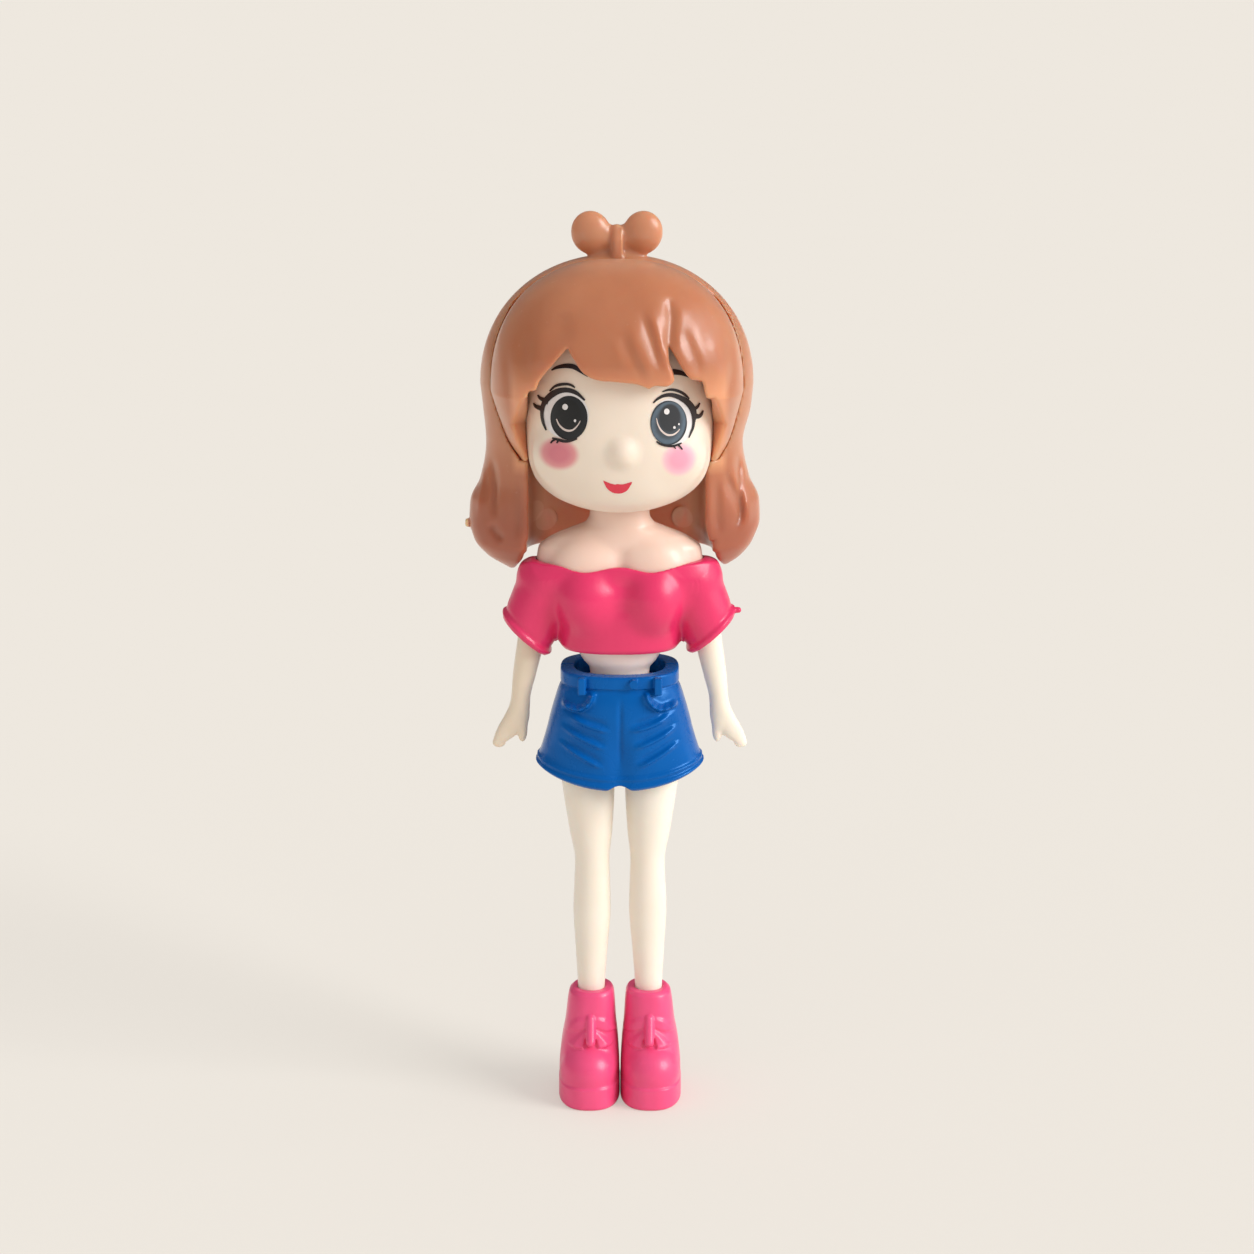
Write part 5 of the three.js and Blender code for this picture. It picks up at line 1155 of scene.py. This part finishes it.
def hair_look():
    """Translucent hair plastic, darker towards the bottom and paler at the crown, with painted shade and
    painted light.
    """
    made = plastic("hair_plastic", linear(196, 130, 94), linear(178, 110, 76), 0.34, 11, 0.7, ((0.8, 0.008),),
                   linear(206, 150, 120), coat=0.25, glow=0.7, glow_reach=(1, 0.5, 0.3))
    # Darker towards the bottom of the locks
    made.paint(made.along("Z", CHIN + 10, CHIN - 4, 0.8), linear(160, 84, 60))
    # Painted shade: the lower front of the fringe, which faces down, is painted darker
    painted_fringe_shade = made.times(made.along("Z", CROWN - 3, CROWN - 9), made.along("Y", -6, -12, 0.6))
    made.paint(painted_fringe_shade, linear(182, 112, 76))
    made.paint(made.along("Z", CROWN - 1, CROWN + 3, 0.8), linear(199, 141, 106))
    # Painted rim highlight: the hair is paler where it turns away from the viewer
    made.paint(made.rim(0.35, 0.95, 0.35), linear(224, 176, 150))
    # Painted light: the hair beside the face is painted paler, for light shining through its thin edge and to
    # lift the shade in the gap by the face
    beside = made.times(made.along("Z", CHIN + 5, CHIN + 7), made.along("Z", EYE + 8, EYE + 3))
    near = made.times(made.wide(17.6, 16.6), made.along("Y", 1, -1))
    made.paint(made.times(beside, near), linear(216, 150, 110))
    # Painted light: the inner surfaces of the nape, seen beside the neck, are painted paler for light shining
    # through the hair
    inside = made.times(made.wide(15.6, 14.8), made.along("Z", CHIN + 8, CHIN + 4))
    inside = made.times(made.times(inside, made.along("Y", 4, 8)), made.forward())
    made.paint(made.times(inside, made.along("Y", 14.0, 13.0)), linear(238, 190, 158))
    made.paint(made.along("X", -24.8, -25.1), linear(226, 186, 150))
    # Painted light: the round pads inside the nape are painted paler still, as if lit through the hair
    for x, up in HAIR_PADS:
        pad = made.spot((x, CHIN + up), (PAD_HALF, PAD_HALF), 0.1)
        made.paint(made.times(made.times(pad, inside), made.along("Y", 12, 10, 0.6)), linear(250, 214, 190))
    made.shader.inputs["Subsurface Scale"].default_value = 4 * MM
    return made.made


HAIR = hair_look()
TOP = plastic("top_plastic", linear(228, 48, 102), linear(216, 40, 94), 0.34, 6, 0.5,
              ((0.45, 0.02), (1.6, 0.02)), coat=0.1).made
SHORTS = plastic("shorts_plastic", linear(4, 90, 168), linear(2, 80, 156), 0.25, 6, 0.5,
                 ((0.5, 0.016), (2.2, 0.02)), shine=0.6, tint=linear(120, 190, 255)).made
BOOTS = plastic("boot_plastic", linear(238, 80, 130), linear(228, 68, 118), 0.34, 6, 0.5, ((0.5, 0.012),),
                coat=0.1, glow=0.1, glow_reach=(1, 0.3, 0.3)).made
PIN = plastic("pin_plastic", linear(232, 228, 220), linear(222, 216, 206), 0.5, 6).made


def face_place(px, py, wide, high):
    """Where an oval in photo pixels lies on the face: its middle and half sizes in X and Z, in millimetres."""
    corners = []
    for at in ((px - wide, py), (px + wide, py), (px, py - high), (px, py + high)):
        corners.append(FACE_TREE.ray_cast(Vector(CAMERA_PLACE), photo_ray(*at))[0] / MM)
    left, right, above, below = corners
    return ((left.x + right.x) / 2, (above.z + below.z) / 2), ((right.x - left.x) / 2, (above.z - below.z) / 2)


def face_look():
    """The skin of the face with a soft blush on each cheek, the left one painted darker as shade."""
    made = plastic("face_plastic", linear(239, 223, 206), linear(234, 214, 193), 0.40, 14, **SKIN_GLOW)
    # The blush is print, but the left one is painted darker and the right one paler: painted shade and painted
    # light from the key on the right
    for blush, core, edge in ((LEFT_BLUSH, linear(212, 122, 132), linear(224, 150, 150)),
                              (RIGHT_BLUSH, linear(248, 164, 184), linear(250, 190, 200))):
        middle, half = face_place(*blush)
        made.paint(made.spot(middle, (half[0] * 1.08, half[1] * 1.08), 0.35), edge)
        made.paint(made.spot(middle, (half[0] * 0.85, half[1] * 0.85), 0.6), core)
    return made.made


def ink(name, colour, deep):
    """A slightly uneven printing ink."""
    return plastic(name, colour, deep, 0.4, 1.2, 0.6).made


def iris_look(name, iris, pupil, rim, outer, inner, dark):
    """An iris with a dark edge, a tinted ring and a dark middle with soft edges."""
    made = Look(name, 0.35)
    made.paint(None, rim)
    middle, half = face_place(*iris)
    made.paint(made.spot(middle, half, 0.1), outer)
    made.paint(made.ranged(made.noise(0.5, 2), 0.35, 0.75, 0, 0.35), inner)
    made.paint(made.spot(middle, (half[0] * 0.86, half[1] * 0.86), 0.25), inner)
    middle, half = face_place(*pupil)
    made.paint(made.spot(middle, half, 0.22), dark)
    return made.made


def print_face():
    """The eyes, lashes and mouth as thin prints, one above the other."""
    white = ink("eye_white_ink", linear(232, 228, 226), linear(214, 206, 204))
    pale = ink("eye_shine_ink", linear(222, 206, 198), linear(204, 184, 176))
    black = ink("lash_ink", linear(28, 20, 22), linear(40, 30, 30))
    red = ink("lip_ink", linear(222, 58, 78), linear(208, 40, 62))
    left = iris_look("left_iris_ink", LEFT_IRIS, LEFT_PUPIL, linear(8, 9, 11), linear(16, 20, 26),
                     linear(8, 12, 17), linear(3, 5, 8))
    # Painted reflection: the right iris is painted lighter and bluer than the left, for the key light reflected
    # on it over the same dark print
    right = iris_look("right_iris_ink_painted_reflection", RIGHT_IRIS, RIGHT_PUPIL, linear(26, 28, 32), linear(88, 104, 118),
                      linear(66, 74, 82), linear(48, 50, 54))
    for word, eye, iris, spots, look, arc in (("left", LEFT_WHITE, LEFT_IRIS, LEFT_SPOTS, left, ARCS[0]),
                                              ("right", RIGHT_WHITE, RIGHT_IRIS, RIGHT_SPOTS, right, ARCS[1])):
        printed(word + "_eye_white_print", *filled(oval(*eye)), PRINT_LIFT, white)
        printed(word + "_iris_print", *filled(oval(*iris), 12), 2 * PRINT_LIFT, look)
        printed(word + "_eye_arc_print", *strokes([arc]), 3.2 * PRINT_LIFT, pale)
        for i, spot in enumerate(spots):
            printed(f"{word}_eye_spot_{i}_print", *filled(oval(*spot, 24), 3), 3.6 * PRINT_LIFT, white)
    printed("lash_print", *strokes(LINES), 3 * PRINT_LIFT, black)
    printed("mouth_print", *filled(curve(MOUTH + MOUTH[:1], 4)[:-1]), PRINT_LIFT, red)


def dress(piece, body, cad_node, slot, material):
    """The piece takes the place of its CAD node."""
    piece.data.materials.append(material)
    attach(piece, body)
    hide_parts(cad_node)


face_piece = face()
FACE_TREE = BVHTree.FromObject(face_piece, bpy.context.evaluated_depsgraph_get())
dress(face_piece, "head", "face_shell", "face_skin", face_look())
print_face()
dress(head_back(), "head", "head_back_shell", "skin", NAPE)
dress(hair_front(), "front_hair", "hair_front", "hair", HAIR)
dress(hair_back(), "rear_hair", "hair_back", "hair", HAIR)
for half, body, word in ((torso, "torso", "torso"), (pelvis, "hips", "pelvis")):
    dress(half(True), body, word + "_front", "skin", BODY)
    dress(half(False), body, word + "_back", "skin", BODY)
for word, body in (("neck_pin", "torso"), ("waist_pin", "hips")):
    dress(pin(word), body, word, "pins", PIN)
for side, word in SIDE_NAMES.items():
    dress(arm(side), word + "_arm", "arm_" + word, "skin", ARMS)
    dress(leg(side), word + "_leg", "leg_" + word, "skin", LEGS)
    dress(boot(side), word + "_boot", "boot_" + word, "boots", BOOTS)
for half, word, look in ((top, "top", TOP), (shorts, "shorts", SHORTS)):
    dress(half(True), "front_" + word, word + "_front", word, look)
    dress(half(False), "rear_" + word, word + "_back", word, look)


# Floor, light and camera
BACKDROP = linear(236, 230, 221)
FLOOR_REACH = 10.0
# Strength of the air's light and of its reflections, and how light the floor is and glows to the camera
AIR_LIGHT, AIR_GLOSS, FLOOR_SHADE, FLOOR_GLOW = 0.6, 0.12, 1.025, 0.5


def studio_floor():
    """A wide pale floor, lightened for the camera so that shadows on it stay faint."""
    corners = [(x * FLOOR_REACH, y * FLOOR_REACH, 0) for x, y in ((-1, -1), (1, -1), (1, 1), (-1, 1))]
    made = mesh_object("studio_floor", np.array(corners), np.array([(0, 1, 2, 3)]))
    paper = Look("studio_paper", 0.9, shine=0.0)
    paper.paint(None, tuple(c * FLOOR_SHADE for c in BACKDROP))
    paper.paint(paper.ranged(paper.noise(60, 2), 0.3, 0.7, 0, 0.03), linear(226, 216, 204))
    shine = paper.node("Emission", {"Color": (*BACKDROP, 1)}, "Emission")
    camera_rays = paper.node("LightPath", {}, "Is Camera Ray")
    share = paper.ranged(camera_rays, 0, 1, 0, FLOOR_GLOW)
    mixed = paper.node("MixShader", {"Fac": share, 1: paper.shader.outputs["BSDF"], 2: shine}, "Shader")
    paper.tree.links.new(mixed, paper.tree.nodes["Material Output"].inputs["Surface"])
    made.data.materials.append(paper.made)


def sun(name, way, power, spread, colour=(1, 1, 1)):
    """A wide soft light from that way."""
    data = bpy.data.lights.new(name, "SUN")
    data.energy = power
    data.angle = math.radians(spread)
    data.color = colour
    made = bpy.data.objects.new(name, data)
    made.rotation_euler = Vector(way).to_track_quat("Z", "Y").to_euler()
    bpy.context.scene.collection.objects.link(made)


def surroundings():
    """Even light all round: the backdrop to the camera, a little darker as light, and dim in reflections."""
    world = bpy.data.worlds.new("studio_air")
    world.use_nodes = True
    tree = world.node_tree
    air = tree.nodes["Background"]
    air.inputs["Color"].default_value = (1, 1, 1, 1)
    air.inputs["Strength"].default_value = AIR_LIGHT
    last = air.outputs["Background"]
    for ray, colour, strength in (("Is Glossy Ray", (1, 1, 1), AIR_GLOSS), ("Is Camera Ray", BACKDROP, 1.0)):
        other = node(tree, "Background", {"Color": (*colour, 1), "Strength": strength}, "Background")
        share = node(tree, "LightPath", {}, ray)
        last = node(tree, "MixShader", {"Fac": share, 1: last, 2: other}, "Shader")
    tree.links.new(last, tree.nodes["World Output"].inputs["Surface"])
    bpy.context.scene.world = world


studio_floor()
sun("key_light", (0.85, -0.40, 0.50), 2.3, 32)
sun("fill_light", (-0.3, -1.0, 0.5), 0.2, 90)
sun("side_light", (1.0, 0.1, 0.35), 0.4, 40)
surroundings()

camera_data = bpy.data.cameras.new("camera")
camera_data.sensor_width = 36
camera_data.lens = 36 * FOCAL / PHOTO
camera_data.clip_start = 0.01
camera = bpy.data.objects.new("camera", camera_data)
camera.location = CAMERA_PLACE
camera.rotation_euler = (math.pi / 2 - CAMERA_PITCH, 0, 0)
bpy.context.scene.collection.objects.link(camera)
bpy.context.scene.camera = camera
bpy.context.scene.view_settings.view_transform = "Standard"

bpy.context.view_layer.update()
